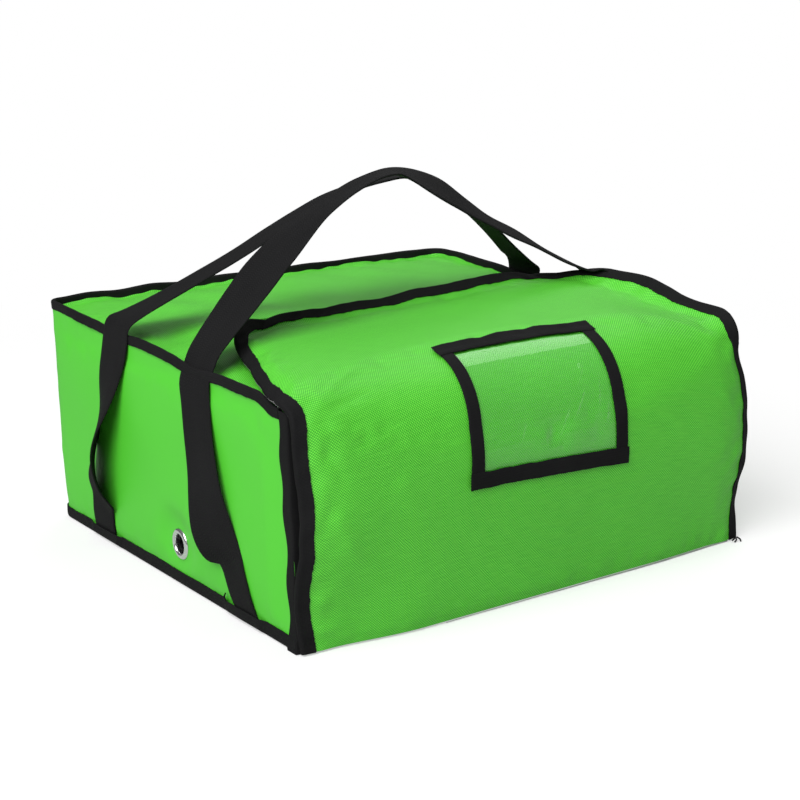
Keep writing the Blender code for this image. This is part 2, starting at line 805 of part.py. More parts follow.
add_piece("window_bottom_bar", bottom_bar, tape_look, flap_axis)
top_bar = flap_patch(
    window_left_x, window_right_x, window_high_run - tape_width, window_high_run, tape_out, tape_top, pane_columns
)
add_piece("window_top_bar", top_bar, tape_look, unroll_axis)


# Webbing: side straps up to the shoulders, and the handles between them
def web_strip(path, plumb_ends=()):
    """Flat webbing along a path of (x, y, z) with its width along Y; plumb ends are cut upright."""
    lower = []
    upper = []
    for i, (x, y, z) in enumerate(path):
        before = path[max(0, i - 1)]
        after = path[min(len(path) - 1, i + 1)]
        way = Vector((after[0] - before[0], 0, after[2] - before[2])).normalized()
        side = Vector((-way.z, 0, way.x)) * webbing_thickness / 2
        if i - len(path) in plumb_ends or i in plumb_ends:
            side = Vector((0, 0, webbing_thickness / 2 / way.x))
        edges = [Vector((x, y - webbing_width / 2, z)), Vector((x, y + webbing_width / 2, z))]
        lower.append([edge - side for edge in edges])
        upper.append([edge + side for edge in edges])
    return skin_grids(lower, upper)


def handle_line(rise, lean, top_y):
    """Half of a handle's middle line as (share across, y, z), from its peak to the shoulder."""
    points = [(share, top_y + lean * tilt, strap_shoulder_z + rise * up) for share, up, tilt in handle_path_shares]
    mirrored = (-points[1][0], points[1][1], points[1][2])
    return smooth_path([mirrored] + points, path_steps)[path_steps:]


def handle_place(share, y, z, side, peak_x):
    return (side * share * shoulder_x + peak_x * (1 - share**2), y, z)


webs = (
    ("front", front_strap_top_y, front_strap_foot_y, front_strap_bow, front_handle_rise, 0.0, -1),
    ("back", back_strap_top_y, back_strap_foot_y, back_strap_bow, back_handle_rise, back_handle_peak_x, 1),
)
for word, top_y, foot_y, bow, rise, peak_x, towards in webs:
    inner_y = towards * (webbing_width / 2 + handle_side_gap)
    line = handle_line(rise, inner_y - top_y, top_y)
    cut_share = handle_pivot_x / shoulder_x
    keep_off = 2 * webbing_thickness / shoulder_x
    handle_half = [point for point in line if point[0] < cut_share - keep_off]
    shoulder_half = [point for point in line if point[0] > cut_share + keep_off]
    before = handle_half[-1]
    after = shoulder_half[0]
    part = (cut_share - before[0]) / (after[0] - before[0])
    cut = tuple(p + (q - p) * part for p, q in zip(before, after))
    reach = clearance / shoulder_x
    left = [handle_place(*point, -1, peak_x) for point in handle_half + [(cut[0] - reach, cut[1], cut[2])]]
    right = [handle_place(*point, 1, peak_x) for point in handle_half[1:] + [(cut[0] - reach, cut[1], cut[2])]]
    pivot = (0, cut[1], cut[2])
    add_piece(word + "_handle", web_strip(left[::-1] + right, (0, -1)), webbing_look, origin=pivot)
    print(word, "handle pivot", [round(value, 5) for value in pivot])
    for hand, side in (("left", -1), ("right", 1)):
        path = []
        for share in (0.0, 0.5):
            path.append((strap_x, mouth_foot_z + (strap_sewn_height - mouth_foot_z) * share))
        loose_height = strap_shoulder_z - strap_sewn_height
        for up, out in smooth_path(strap_bow_shares, path_steps):
            seat_x = strap_x + (shoulder_x - strap_x) * smooth_step(up)
            path.append((seat_x + bow * max(0.0, out), strap_sewn_height + loose_height * up))
        places = []
        for x, z in path:
            slope = (z - mouth_foot_z) / (strap_shoulder_z - mouth_foot_z)
            places.append((side * x, foot_y + (top_y - foot_y) * slope, z))
        start = [handle_place(*point, side, peak_x) for point in shoulder_half[::-1]]
        end = handle_place(cut[0] + reach, cut[1], cut[2], side, peak_x)
        name = hand + "_" + word + "_strap"
        add_piece(name, web_strip(places + start + [end], (-1,)), webbing_look)

print("flap hinge", round(hinge_y, 5), "unroll", round(unroll_y, 5), round(unroll_z, 5), "crown", round(top_crown, 5))
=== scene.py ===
# Insulated delivery bag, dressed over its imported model. Metres, -Y is the bag's front.
import math
import bmesh
import bpy
import numpy as np
from mathutils import Matrix, Vector


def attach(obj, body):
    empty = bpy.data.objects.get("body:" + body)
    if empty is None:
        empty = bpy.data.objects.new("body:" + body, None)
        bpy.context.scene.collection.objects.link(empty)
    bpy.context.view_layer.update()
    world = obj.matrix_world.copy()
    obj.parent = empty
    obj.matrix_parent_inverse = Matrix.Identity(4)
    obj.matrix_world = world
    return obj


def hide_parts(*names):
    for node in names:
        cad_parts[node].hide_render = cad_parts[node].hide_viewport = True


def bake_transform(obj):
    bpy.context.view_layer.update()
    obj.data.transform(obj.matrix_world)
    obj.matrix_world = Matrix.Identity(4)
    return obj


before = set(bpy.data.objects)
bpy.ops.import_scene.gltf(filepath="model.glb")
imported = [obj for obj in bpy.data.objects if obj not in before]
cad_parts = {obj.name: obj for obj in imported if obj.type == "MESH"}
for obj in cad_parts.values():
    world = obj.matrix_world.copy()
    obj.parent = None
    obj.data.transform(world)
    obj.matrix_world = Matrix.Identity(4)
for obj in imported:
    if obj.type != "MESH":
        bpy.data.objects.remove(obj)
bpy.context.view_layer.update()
print("packed model loaded")


# small maths
def smoothStep(t):
    t = np.clip(t, 0.0, 1.0)
    return t * t * (3 - 2 * t)


def softWaves(a, b, seed, pitch):
    # gentle hills and hollows of about that pitch, from about -1 to 1
    rng = np.random.default_rng(seed)
    total = np.zeros(np.broadcast(a, b).shape)
    for _ in range(6):
        turn = rng.uniform(0, 2 * math.pi)
        length = pitch * rng.uniform(0.7, 1.5)
        start = rng.uniform(0, 2 * math.pi)
        total = total + np.sin(2 * math.pi * (a * math.cos(turn) + b * math.sin(turn)) / length + start)
    return total / 3.5


def bump(distance, width):
    return np.exp(-((distance / width) ** 2))


def unit(vectors):
    return vectors / np.maximum(np.linalg.norm(vectors, axis=-1, keepdims=True), 1e-12)


def wavesAlong(s, seed, pitch):
    return softWaves(s, np.zeros_like(s), seed, pitch)


def steady(count, *direction):
    # one direction for all stations of a sweep
    return np.repeat([[float(d) for d in direction]], count, axis=0)


def smoothPath(points, steps):
    # points of a curve that passes through the given ones
    points = np.array(points, float)
    ends = np.vstack([2 * points[0] - points[1], points, 2 * points[-1] - points[-2]])
    path = []
    for a, b, c, d in zip(ends, ends[1:], ends[2:], ends[3:]):
        for step in range(steps):
            t = step / steps
            square, cube = 2 * a - 5 * b + 4 * c - d, 3 * b - a - 3 * c + d
            path.append(0.5 * (2 * b + (c - a) * t + square * t**2 + cube * t**3))
    path.append(points[-1])
    return np.array(path)


def sampleGrid(grid, u, v):
    # value of a grid at shares u across and v along it
    rows, columns = grid.shape
    x = np.clip(u, 0, 1) * (columns - 1)
    y = np.clip(v, 0, 1) * (rows - 1)
    i = np.minimum(x.astype(int), columns - 2)
    j = np.minimum(y.astype(int), rows - 2)
    fx = x - i
    fy = y - j
    low = grid[j, i] * (1 - fx) + grid[j, i + 1] * fx
    high = grid[j + 1, i] * (1 - fx) + grid[j + 1, i + 1] * fx
    return low * (1 - fy) + high * fy


# meshes
def addPiece(name, points, faces, cloth, look, sharpAngle=48):
    # closed mesh with its place on the cloth kept in a point attribute, which the weaves read
    mesh = bpy.data.meshes.new(name)
    mesh.from_pydata(np.asarray(points, float).tolist(), [], faces)
    shape = bmesh.new()
    shape.from_mesh(mesh)
    bmesh.ops.recalc_face_normals(shape, faces=shape.faces[:])
    shape.to_mesh(mesh)
    shape.free()
    place = mesh.attributes.new("cloth", "FLOAT_VECTOR", "POINT")
    cloth = np.asarray(cloth, np.float32)
    if cloth.shape[-1] == 2:
        cloth = np.concatenate([cloth, np.zeros((len(cloth), 1), np.float32)], axis=1)
    place.data.foreach_set("vector", cloth.ravel())
    mesh.shade_smooth()
    mesh.set_sharp_from_angle(angle=math.radians(sharpAngle))
    mesh.materials.append(look)
    piece = bpy.data.objects.new(name, mesh)
    bpy.context.scene.collection.objects.link(piece)
    return piece


def addShell(name, upper, lower, cloth, look):
    # closed sheet between two grids of points with the same rows and columns
    rows, columns = upper.shape[:2]
    count = rows * columns
    index = np.arange(count).reshape(rows, columns)
    a, b, c, d = index[:-1, :-1], index[:-1, 1:], index[1:, 1:], index[1:, :-1]
    quads = np.stack([a, b, c, d], axis=-1).reshape(-1, 4)
    edge = np.concatenate([index[0, :], index[1:, -1], index[-1, -2::-1], index[-2:0:-1, 0]])
    after = np.roll(edge, -1)
    rim = np.stack([edge, after, after + count, edge + count], axis=-1)
    faces = np.concatenate([quads, quads[:, ::-1] + count, rim]).tolist()
    points = np.concatenate([upper.reshape(-1, 3), lower.reshape(-1, 3)])
    flat = cloth.reshape(count, -1)
    return addPiece(name, points, faces, np.concatenate([flat, flat]), look)


def addSweep(name, path, outs, ups, profile, look, tips=None, closed=False):
    # closed profile of (out, up) points, one for all stations or one for each, swept along a path
    stations = len(path)
    profile = np.asarray(profile, float)
    if profile.ndim == 2:
        profile = np.repeat(profile[None], stations, axis=0)
    turns = profile.shape[1]
    points = path[:, None] + outs[:, None] * profile[..., :1] + ups[:, None] * profile[..., 1:]
    steps = np.concatenate([[0], np.cumsum(np.linalg.norm(np.diff(path, axis=0), axis=1))])
    around = np.concatenate([[0], np.cumsum(np.linalg.norm(np.diff(profile[0], axis=0), axis=1))])
    fromTip = np.zeros(turns) if tips is None else np.asarray(tips, float)
    cloth = np.zeros((stations, turns, 3))
    cloth[..., 0] = steps[:, None]
    cloth[..., 1] = around[None]
    cloth[..., 2] = fromTip[None]
    index = np.arange(stations * turns).reshape(stations, turns)
    after = np.roll(index, -1, axis=1)
    if closed:
        a, b, c, d = index, after, np.roll(after, -1, axis=0), np.roll(index, -1, axis=0)
    else:
        a, b, c, d = index[:-1], after[:-1], after[1:], index[1:]
    faces = np.stack([a, b, c, d], axis=-1).reshape(-1, 4).tolist()
    if not closed:
        faces += [index[0].tolist()[::-1], index[-1].tolist()]
    return addPiece(name, points.reshape(-1, 3), faces, cloth.reshape(-1, 3), look)


def hemProfile(outerAt, innerAt, reach, tape, nose, steps=7):
    # tape folded over an edge, as (toward the edge, outward) points; the two functions give the faces it
    # holds
    back = np.linspace(reach, 0.0005, steps)
    turn = np.linspace(math.pi / 2, -math.pi / 2, 9)
    profile, tips = [], []
    for gap, grow in ((tape + 0.0002, tape), (0.0002, 0.0)):
        outer = [(-d, float(outerAt(d)) + gap) for d in back]
        inner = [(-d, float(innerAt(d)) - gap) for d in back[::-1]]
        middle = (outer[-1][1] + inner[0][1]) / 2
        half = (outer[-1][1] - inner[0][1]) / 2
        fold = [(math.cos(a) * (nose + grow), middle + half * math.sin(a)) for a in turn[1:-1]]
        part = outer + fold + inner
        far = [reach - d for d in back] + [reach] * len(fold) + [reach - d for d in back[::-1]]
        profile += part if grow else part[::-1]
        tips += far if grow else far[::-1]
    return profile, tips


def fixTo(bodyName, piece, *nodes):
    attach(piece, bodyName)
    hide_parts(*nodes)


def gridNormals(points):
    return unit(np.cross(np.gradient(points, axis=1), np.gradient(points, axis=0)))


def cutHole(piece, place, radius):
    # round hole through a wall, along X
    cutter = bpy.data.meshes.new("holeCutter")
    shape = bmesh.new()
    bmesh.ops.create_cone(shape, cap_ends=True, segments=48, radius1=radius, radius2=radius, depth=0.05)
    shape.to_mesh(cutter)
    shape.free()
    tool = bpy.data.objects.new("holeCutter", cutter)
    bpy.context.scene.collection.objects.link(tool)
    tool.matrix_world = Matrix.Translation(place) @ Matrix.Rotation(math.pi / 2, 4, "Y")
    bore = piece.modifiers.new("bore", "BOOLEAN")
    bore.object = tool
    bore.operation = "DIFFERENCE"
    bore.solver = "EXACT"
    bakeModifiers(piece)
    bpy.data.objects.remove(tool, do_unlink=True)


def bakeModifiers(piece):
    bpy.context.view_layer.update()
    solid = bpy.data.meshes.new_from_object(piece.evaluated_get(bpy.context.evaluated_depsgraph_get()))
    piece.modifiers.clear()
    piece.data = solid


# cloth
clothRun = {
    "frames": 20, "quality": 5, "mass": 0.3, "tension": 18, "compression": 18, "shear": 6, "bending": 0.35
}


def relaxCloth(name, points, pinned, slack, pressure, most, towards=0.001):
    # simulates the cloth of a grid that is sewn along its pinned points, and returns how far it moves out
    rows, columns = points.shape[:2]
    index = np.arange(rows * columns).reshape(rows, columns)
    quads = np.stack([index[:-1, :-1], index[:-1, 1:], index[1:, 1:], index[1:, :-1]], axis=-1).reshape(-1, 4)
    rng = np.random.default_rng(7)
    normals = gridNormals(points)
    start = points + normals * (rng.uniform(-0.0003, 0.0003, (rows, columns, 1)) * ~pinned[..., None])
    mesh = bpy.data.meshes.new(name)
    mesh.from_pydata(start.reshape(-1, 3).tolist(), [], quads.tolist())
    sheet = bpy.data.objects.new(name, mesh)
    bpy.context.scene.collection.objects.link(sheet)
    sewn = sheet.vertex_groups.new(name="sewn")
    sewn.add(index[pinned].tolist(), 1.0, "REPLACE")
    cloth = sheet.modifiers.new("cloth", "CLOTH")
    cloth.settings.vertex_group_mass = "sewn"
    cloth.settings.quality = clothRun["quality"]
    cloth.settings.mass = clothRun["mass"]
    cloth.settings.tension_stiffness = clothRun["tension"]
    cloth.settings.compression_stiffness = clothRun["compression"]
    cloth.settings.shear_stiffness = clothRun["shear"]
    cloth.settings.bending_stiffness = clothRun["bending"]
    cloth.settings.shrink_min = -slack
    cloth.settings.use_pressure = True
    cloth.settings.uniform_pressure_force = pressure
    cloth.settings.effector_weights.gravity = 0
    cloth.point_cache.frame_end = clothRun["frames"]
    scene = bpy.context.scene
    for step in range(1, clothRun["frames"] + 1):
        scene.frame_set(step)
    settled = sheet.evaluated_get(bpy.context.evaluated_depsgraph_get()).data
    where = np.zeros(rows * columns * 3)
    settled.vertices.foreach_get("co", where)
    moved = ((where.reshape(points.shape) - points) * normals).sum(axis=2)
    scene.frame_set(1)
    bpy.data.objects.remove(sheet, do_unlink=True)
    # no point moves further than the cap, and few go in
    moved = np.where(moved > 0, most * np.tanh(moved / most), towards * np.tanh(moved / towards))
    print(f"{name} settled, {1000 * moved.min():.1f} to {1000 * moved.max():.1f} mm")
    return moved


def edgesHeld(points):
    held = np.ones(points.shape[:2], bool)
    held[1:-1, 1:-1] = False
    return held


# looks
def newLook(name, roughness, metallic=0.0):
    look = bpy.data.materials.new(name)
    look.use_nodes = True
    shader = look.node_tree.nodes["Principled BSDF"]
    shader.inputs["Roughness"].default_value = roughness
    shader.inputs["Metallic"].default_value = metallic
    return look, shader


def addNode(look, kind, inputs=None, **settings):
    node = look.node_tree.nodes.new("ShaderNode" + kind)
    for key, value in settings.items():
        setattr(node, key, value)
    for key, value in (inputs or {}).items():
        if isinstance(value, bpy.types.NodeSocket):
            look.node_tree.links.new(value, node.inputs[key])
        else:
            node.inputs[key].default_value = value
    return node


def mathNode(look, operation, *values):
    return addNode(look, "Math", dict(enumerate(values)), operation=operation).outputs[0]


def clothPlace(look):
    place = addNode(look, "Attribute", attribute_name="cloth")
    split = addNode(look, "SeparateXYZ", {0: place.outputs["Vector"]})
    return place.outputs["Vector"], split.outputs[0], split.outputs[1], split.outputs[2]


def threadWave(look, along, pitch):
    return mathNode(look, "SINE", mathNode(look, "MULTIPLY", along, 2 * math.pi / pitch))


def noiseOver(look, place, scale, detail=3.0, roughness=0.55):
    values = {"Vector": place, "Scale": scale, "Detail": detail, "Roughness": roughness}
    return addNode(look, "TexNoise", values).outputs[0]


def stretched(look, place, *scales):
    return addNode(look, "VectorMath", {0: place, 1: scales}, operation="MULTIPLY").outputs[0]


def rampOver(look, value, stops):
    ramp = addNode(look, "ValToRGB", {0: value})
    while len(ramp.color_ramp.elements) < len(stops):
        ramp.color_ramp.elements.new(0.5)
    for stop, (place, colour) in zip(ramp.color_ramp.elements, stops):
        stop.position = place
        stop.color = (*colour, 1.0)
    return ramp.outputs[0]


def mixColour(look, share, first, second, blend="MIX"):
    mix = addNode(look, "Mix", data_type="RGBA", blend_type=blend)
    tree = look.node_tree
    for socket, value in ((mix.inputs[0], share), (mix.inputs[6], first), (mix.inputs[7], second)):
        if isinstance(value, bpy.types.NodeSocket):
            tree.links.new(value, socket)
        else:
            socket.default_value = value if isinstance(value, float) else (*value, 1.0)
    return mix.outputs[2]


def feed(look, shader, socket, value):
    look.node_tree.links.new(value, shader.inputs[socket])


def setBump(look, shader, height, strength, distance):
    relief = addNode(look, "Bump", {"Height": height, "Strength": strength, "Distance": distance})
    feed(look, shader, "Normal", relief.outputs[0])


canvas = {
    "thread": 0.0022,  # pitch of the oxford weave
    # deep and lit: painted shade in the hollows of the weave and a painted highlight on its raised yarn
    "deep": (0.008, 0.220, 0.003),
    "green": (0.052, 0.545, 0.017),
    "lit": (0.245, 0.960, 0.075),
    "slubDeep": (0.025, 0.36, 0.010),
    "slubLit": (0.17, 0.78, 0.07),
    "slubs": 0.16,  # share of the uneven threads
    "roughness": 0.5,
    "gloss": 0.55,
}


def canvasLook():
    look, shader = newLook("greenCanvas", canvas["roughness"])
    place, across, along, _ = clothPlace(look)
    drift = noiseOver(look, place, 90.0, 2.0)
    sway = mathNode(look, "MULTIPLY", mathNode(look, "SUBTRACT", drift, 0.5), 0.0012)
    warp = threadWave(look, mathNode(look, "ADD", across, sway), canvas["thread"])
    weft = threadWave(look, mathNode(look, "ADD", along, sway), canvas["thread"])
    weave = mathNode(look, "MULTIPLY", warp, weft)
    lift = mathNode(look, "MULTIPLY_ADD", weave, 0.5, 0.5)
    # painted light: the raised yarn of the weave gets a painted highlight and the hollows between yarns get
    # painted shade
    litAndShadedThreads = rampOver(look, lift, ((0.0, canvas["deep"]), (0.42, canvas["green"]), (1.0, canvas["lit"])))
    broad = noiseOver(look, place, 7.0, 4.0, 0.6)
    shade = rampOver(look, broad, ((0.25, (0.90, 0.93, 0.86)), (0.75, (1.07, 1.05, 1.12))))
    tinted = mixColour(look, 1.0, litAndShadedThreads, shade, "MULTIPLY")
    slubs = noiseOver(look, stretched(look, place, 60.0, 900.0, 1.0), 1.0, 2.0)
    streaks = rampOver(look, slubs, ((0.3, canvas["slubDeep"]), (0.7, canvas["slubLit"])))
    streaked = mixColour(look, canvas["slubs"], tinted, streaks)
    feed(look, shader, "Base Color", streaked)
    gloss = rampOver(look, lift, ((0.0, (0.68,) * 3), (1.0, (0.46,) * 3)))
    feed(look, shader, "Roughness", gloss)
    shader.inputs["Specular IOR Level"].default_value = canvas["gloss"]
    relief = mathNode(
        look, "ADD", mathNode(look, "MULTIPLY", lift, 0.8), mathNode(look, "MULTIPLY", slubs, 0.3)
    )
    setBump(look, shader, relief, 0.45, 0.0004)
    return look


stitches = {"fromEdge": 0.0024, "width": 0.0008, "length": 0.0032}


def tapeLook(name, rib, colour, lint, slant=0.0):
    # ribbed woven tape with a stitch row near the folded leg's end; a slant weaves it in zigzags
    look, shader = newLook(name, 0.72)
    place, along, across, fromTip = clothPlace(look)
    ribs = threadWave(look, along, rib)
    if slant:
        zigzag = mathNode(look, "PINGPONG", across, slant)
        ribs = threadWave(look, mathNode(look, "MULTIPLY_ADD", zigzag, 1.1, along), rib)
    cords = threadWave(look, across, rib * 1.7)
    crossed = mathNode(look, "MULTIPLY", ribs, cords)
    lift = mathNode(look, "MULTIPLY_ADD", crossed, 0.25, mathNode(look, "MULTIPLY_ADD", ribs, 0.25, 0.5))
    fuzz = noiseOver(look, place, 700.0, 3.0, 0.7)
    broad = noiseOver(look, place, 14.0, 3.0)
    value = mathNode(look, "MULTIPLY_ADD", mathNode(look, "SUBTRACT", fuzz, 0.5), 0.7, lift)
    # painted light mixed with random tone: rib tops get a painted highlight and rib grooves get painted
    # shade, while the fuzz varies the tone at random
    dark, light = (tuple(c * share for c in colour) for share in (0.62, 1.55))
    litAndShadedThreads = rampOver(look, value, ((0.15, dark), (0.55, colour), (1.0, light)))
    wear = rampOver(look, broad, ((0.35, (0.0,) * 3), (0.85, (0.35,) * 3)))
    worn = mixColour(look, wear, litAndShadedThreads, lint)
    feed(look, shader, "Base Color", worn)
    shader.inputs["Specular IOR Level"].default_value = 0.07
    row = mathNode(look, "COMPARE", fromTip, stitches["fromEdge"], stitches["width"] / 2)
    dash = mathNode(look, "GREATER_THAN", threadWave(look, along, stitches["length"]), -0.5)
    stitch = mathNode(look, "MULTIPLY", mathNode(look, "MULTIPLY", row, dash), 1.2)
    relief = mathNode(look, "ADD", mathNode(look, "MULTIPLY_ADD", fuzz, 0.5, lift), stitch)
    setBump(look, shader, relief, 0.5, 0.0003)
    return look


def liningLook():
    # crinkled foil lining
    look, shader = newLook("silverLining", 0.36, 0.82)
    place = clothPlace(look)[0]
    cells = {"Vector": place, "Scale": 70.0, "Randomness": 1.0}
    folds = addNode(look, "TexVoronoi", cells, feature="DISTANCE_TO_EDGE").outputs[0]
    crease = noiseOver(look, place, 45.0, 6.0, 0.65)
    height = mathNode(look, "MULTIPLY_ADD", crease, 0.7, mathNode(look, "MINIMUM", folds, 0.12))
    tone = rampOver(look, crease, ((0.3, (0.52, 0.53, 0.54)), (0.7, (0.80, 0.80, 0.80))))
    feed(look, shader, "Base Color", tone)
    setBump(look, shader, height, 0.55, 0.0012)
    return look


def foamLook():
    look, shader = newLook("whiteFoam", 0.9)
    place = clothPlace(look)[0]
    pores = addNode(look, "TexVoronoi", {"Vector": place, "Scale": 600.0}).outputs[0]
    tone = rampOver(
        look, noiseOver(look, place, 30.0), ((0.3, (0.74, 0.74, 0.70)), (0.7, (0.86, 0.86, 0.83)))
    )
    feed(look, shader, "Base Color", tone)
    setBump(look, shader, pores, 0.4, 0.0005)
    return look


def chromeLook():
    look, shader = newLook("bareMetal", 0.2, 1.0)
    place = clothPlace(look)[0]
    scuffs = noiseOver(look, stretched(look, place, 30.0, 900.0, 30.0), 1.0, 4.0)
    feed(
        look, shader, "Base Color",
        rampOver(look, scuffs, ((0.3, (0.66, 0.66, 0.67)), (0.7, (0.86, 0.86, 0.86))))
    )
    feed(look, shader, "Roughness", rampOver(look, scuffs, ((0.3, (0.12,) * 3), (0.8, (0.34,) * 3))))
    return look


def fuzzLook():
    # hook-and-loop strip
    look, shader = newLook("closureStrip", 0.95)
    place = clothPlace(look)[0]
    loops = noiseOver(look, place, 1500.0, 4.0, 0.8)
    tone = rampOver(look, loops, ((0.3, (0.010,) * 3), (0.7, (0.050,) * 3)))
    feed(look, shader, "Base Color", tone)
    shader.inputs["Sheen Weight"].default_value = 0.5
    setBump(look, shader, loops, 1.0, 0.0008)
    return look


vinyl = {
    "roughness": 0.02,
    "tint": (0.86, 0.92, 0.86, 1.0),
    "shade": (0.90, 0.93, 0.90, 1.0),
    "gloss": 0.35,
    "index": 1.36,
}


def vinylLook():
    # clear sheet; the lamps' rays pass it, so that the canvas behind stays lit
    look, shader = newLook("clearVinyl", vinyl["roughness"])
    place = clothPlace(look)[0]
    shader.inputs["Base Color"].default_value = vinyl["tint"]
    shader.inputs["Specular IOR Level"].default_value = vinyl["gloss"]
    shader.inputs["Transmission Weight"].default_value = 1.0
    shader.inputs["IOR"].default_value = vinyl["index"]
    wide = noiseOver(look, place, 16.0, 2.0)
    setBump(look, shader, wide, 0.10, 0.003)
    clear = addNode(look, "BsdfTransparent", {"Color": vinyl["shade"]})
    path = addNode(look, "LightPath")
    passing = mathNode(look, "MAXIMUM", path.outputs["Is Shadow Ray"], path.outputs["Is Diffuse Ray"])
    mix = addNode(look, "MixShader", {0: passing, 1: shader.outputs[0], 2: clear.outputs[0]})
    look.node_tree.links.new(mix.outputs[0], look.node_tree.nodes["Material Output"].inputs["Surface"])
    return look


greenCanvas = canvasLook()
blackTape = tapeLook("blackTape", 0.0011, (0.0096, 0.0096, 0.0101), (0.023, 0.023, 0.024))
blackWebbing = tapeLook("blackWebbing", 0.0024, (0.0102, 0.0102, 0.0107), (0.020, 0.020, 0.021), slant=0.0042)
silverLining = liningLook()
whiteFoam = foamLook()
bareMetal = chromeLook()
closureStrip = fuzzLook()
clearVinyl = vinylLook()
print("looks made")


# bag body
body = {
    "half": 0.2285,
    "cornerRadius": 0.015,
    "mouthY": -0.2274,
    # heights of the bound seam: front left, back left, back right, front right
    "seam": (0.202, 0.2185, 0.2135, 0.200),
    "seamWave": 0.0011,
    "strapDip": 0.004,
    "frontSeam": 0.1965,
    "wallSwell": 0.0038,
    "panelBelow": 0.0092,
    "panelCrown": 0.0090,
    "mouthSag": 0.0075,
    "panelHalf": 0.2262,
    "baseHalf": 0.2272,
    "boardHalf": 0.2264,
    "liningHalf": 0.2183,
    "mouthLine": -0.2270,  # where boards, lining and the mouth's tapes end
    "canvas": 0.001,
    "foam": (0.0013, 0.0093),
    "lining": (0.0096, 0.0102),
    "tape": 0.0008,
    "tuck": (0.0120, 0.0040),
}
strapTops = {"front": -0.075, "back": 0.070}
strapFeet = {"front": -0.143, "back": 0.124}


def seamHeight(x, y):
    a = np.clip(x / body["half"] / 2 + 0.5, 0, 1)
    b = np.clip(y / body["half"] / 2 + 0.5, 0, 1)
    frontLeft, backLeft, backRight, frontRight = body["seam"]
    height = (frontLeft * (1 - a) + frontRight * a) * (1 - b) + (backLeft * (1 - a) + backRight * a) * b
    beside = np.clip((np.abs(x) - 0.20) / 0.02, 0, 1)
    for top in strapTops.values():
        height = height - body["strapDip"] * beside * bump(y - top, 0.032)
    height = height + body["seamWave"] * softWaves(x, y, 3, 0.075)
    front = smoothStep((-0.178 - y) / 0.030)
    return height * (1 - front) + body["frontSeam"] * front


def panelHeight(x, y):
    # outer face of the top panel: crowned, sagging at the mouth, with hollows where the straps press it
    across = np.clip(1 - (np.abs(x) / body["half"]) ** 2.4, 0, 1)
    sag = -body["mouthSag"] + (body["panelCrown"] + body["mouthSag"]) * smoothStep((y + 0.2157) / 0.1557)
    crown = body["panelCrown"] * np.clip(1 - ((y + 0.06) / 0.2885) ** 2, 0, 1) ** 0.8
    lift = across * np.where(y < -0.06, sag, crown)
    hollow = 0
    for x0, y0, depth, wide, turn in (
        (-0.196, 0.034, 0.0042, 0.020, 0.9),
        (-0.192, -0.118, 0.0040, 0.020, 0.7),
        (0.196, 0.030, 0.0030, 0.022, -0.8),
        (0.190, -0.112, 0.0028, 0.020, -0.7),
        (-0.06, 0.205, 0.0018, 0.030, 1.6),
    ):
        u = (x - x0) * math.cos(turn) + (y - y0) * math.sin(turn)
        v = -(x - x0) * math.sin(turn) + (y - y0) * math.cos(turn)
        hollow = hollow + depth * np.exp(-((u / (2.4 * wide)) ** 2) - (v / wide) ** 2)
    return seamHeight(x, y) - body["panelBelow"] + lift - hollow


def roundCorners(x, y):
    # draws the square back corners of a panel in to the wall's round ones
    start = body["half"] - body["cornerRadius"]
    overX = np.maximum(np.abs(x) - start, 1e-9)
    overY = np.maximum(y - start, 1e-9)
    share = np.maximum(overX, overY) / np.hypot(overX, overY)
    inside = (np.abs(x) > start) & (y > start)
    return np.where(inside, np.sign(x) * (start + overX * share), x), np.where(
        inside, start + overY * share, y
    )


def footTuck(x):
    # the corners of the front fold draw back to the mouth
    left, right = body["tuck"]
    return smoothStep((np.abs(x) - 0.12) / 0.105) * np.where(x < 0, left, right)


wallSide = body["half"] - body["cornerRadius"] - body["mouthY"]
wallTurn = math.pi / 2 * body["cornerRadius"]
wallBack = 2 * (body["half"] - body["cornerRadius"])
wallLength = 2 * wallSide + 2 * wallTurn + wallBack


def wallPlan(s, out=0.0):
    # place and outward direction of the wall's canvas, a distance s from the left edge of the mouth
    s = np.asarray(s, float)
    h, r = body["half"], body["cornerRadius"]
    mirrored = s > wallLength / 2
    t = np.where(mirrored, wallLength - s, s)
    turn = np.clip((t - wallSide) / r, 0, math.pi / 2)
    straight = np.minimum(t, wallSide)
    behind = np.maximum(t - wallSide - wallTurn, 0)
    x = -h + r * (1 - np.cos(turn)) + behind
    y = body["mouthY"] + straight + r * np.sin(turn)
    nx, ny = -np.cos(turn), np.sin(turn)
    x, nx = np.where(mirrored, -x, x), np.where(mirrored, -nx, nx)
    return x + nx * out, y + ny * out, nx, ny


vent = {"y": -0.031, "z": 0.039, "hole": 0.0094}
wallRelief = None


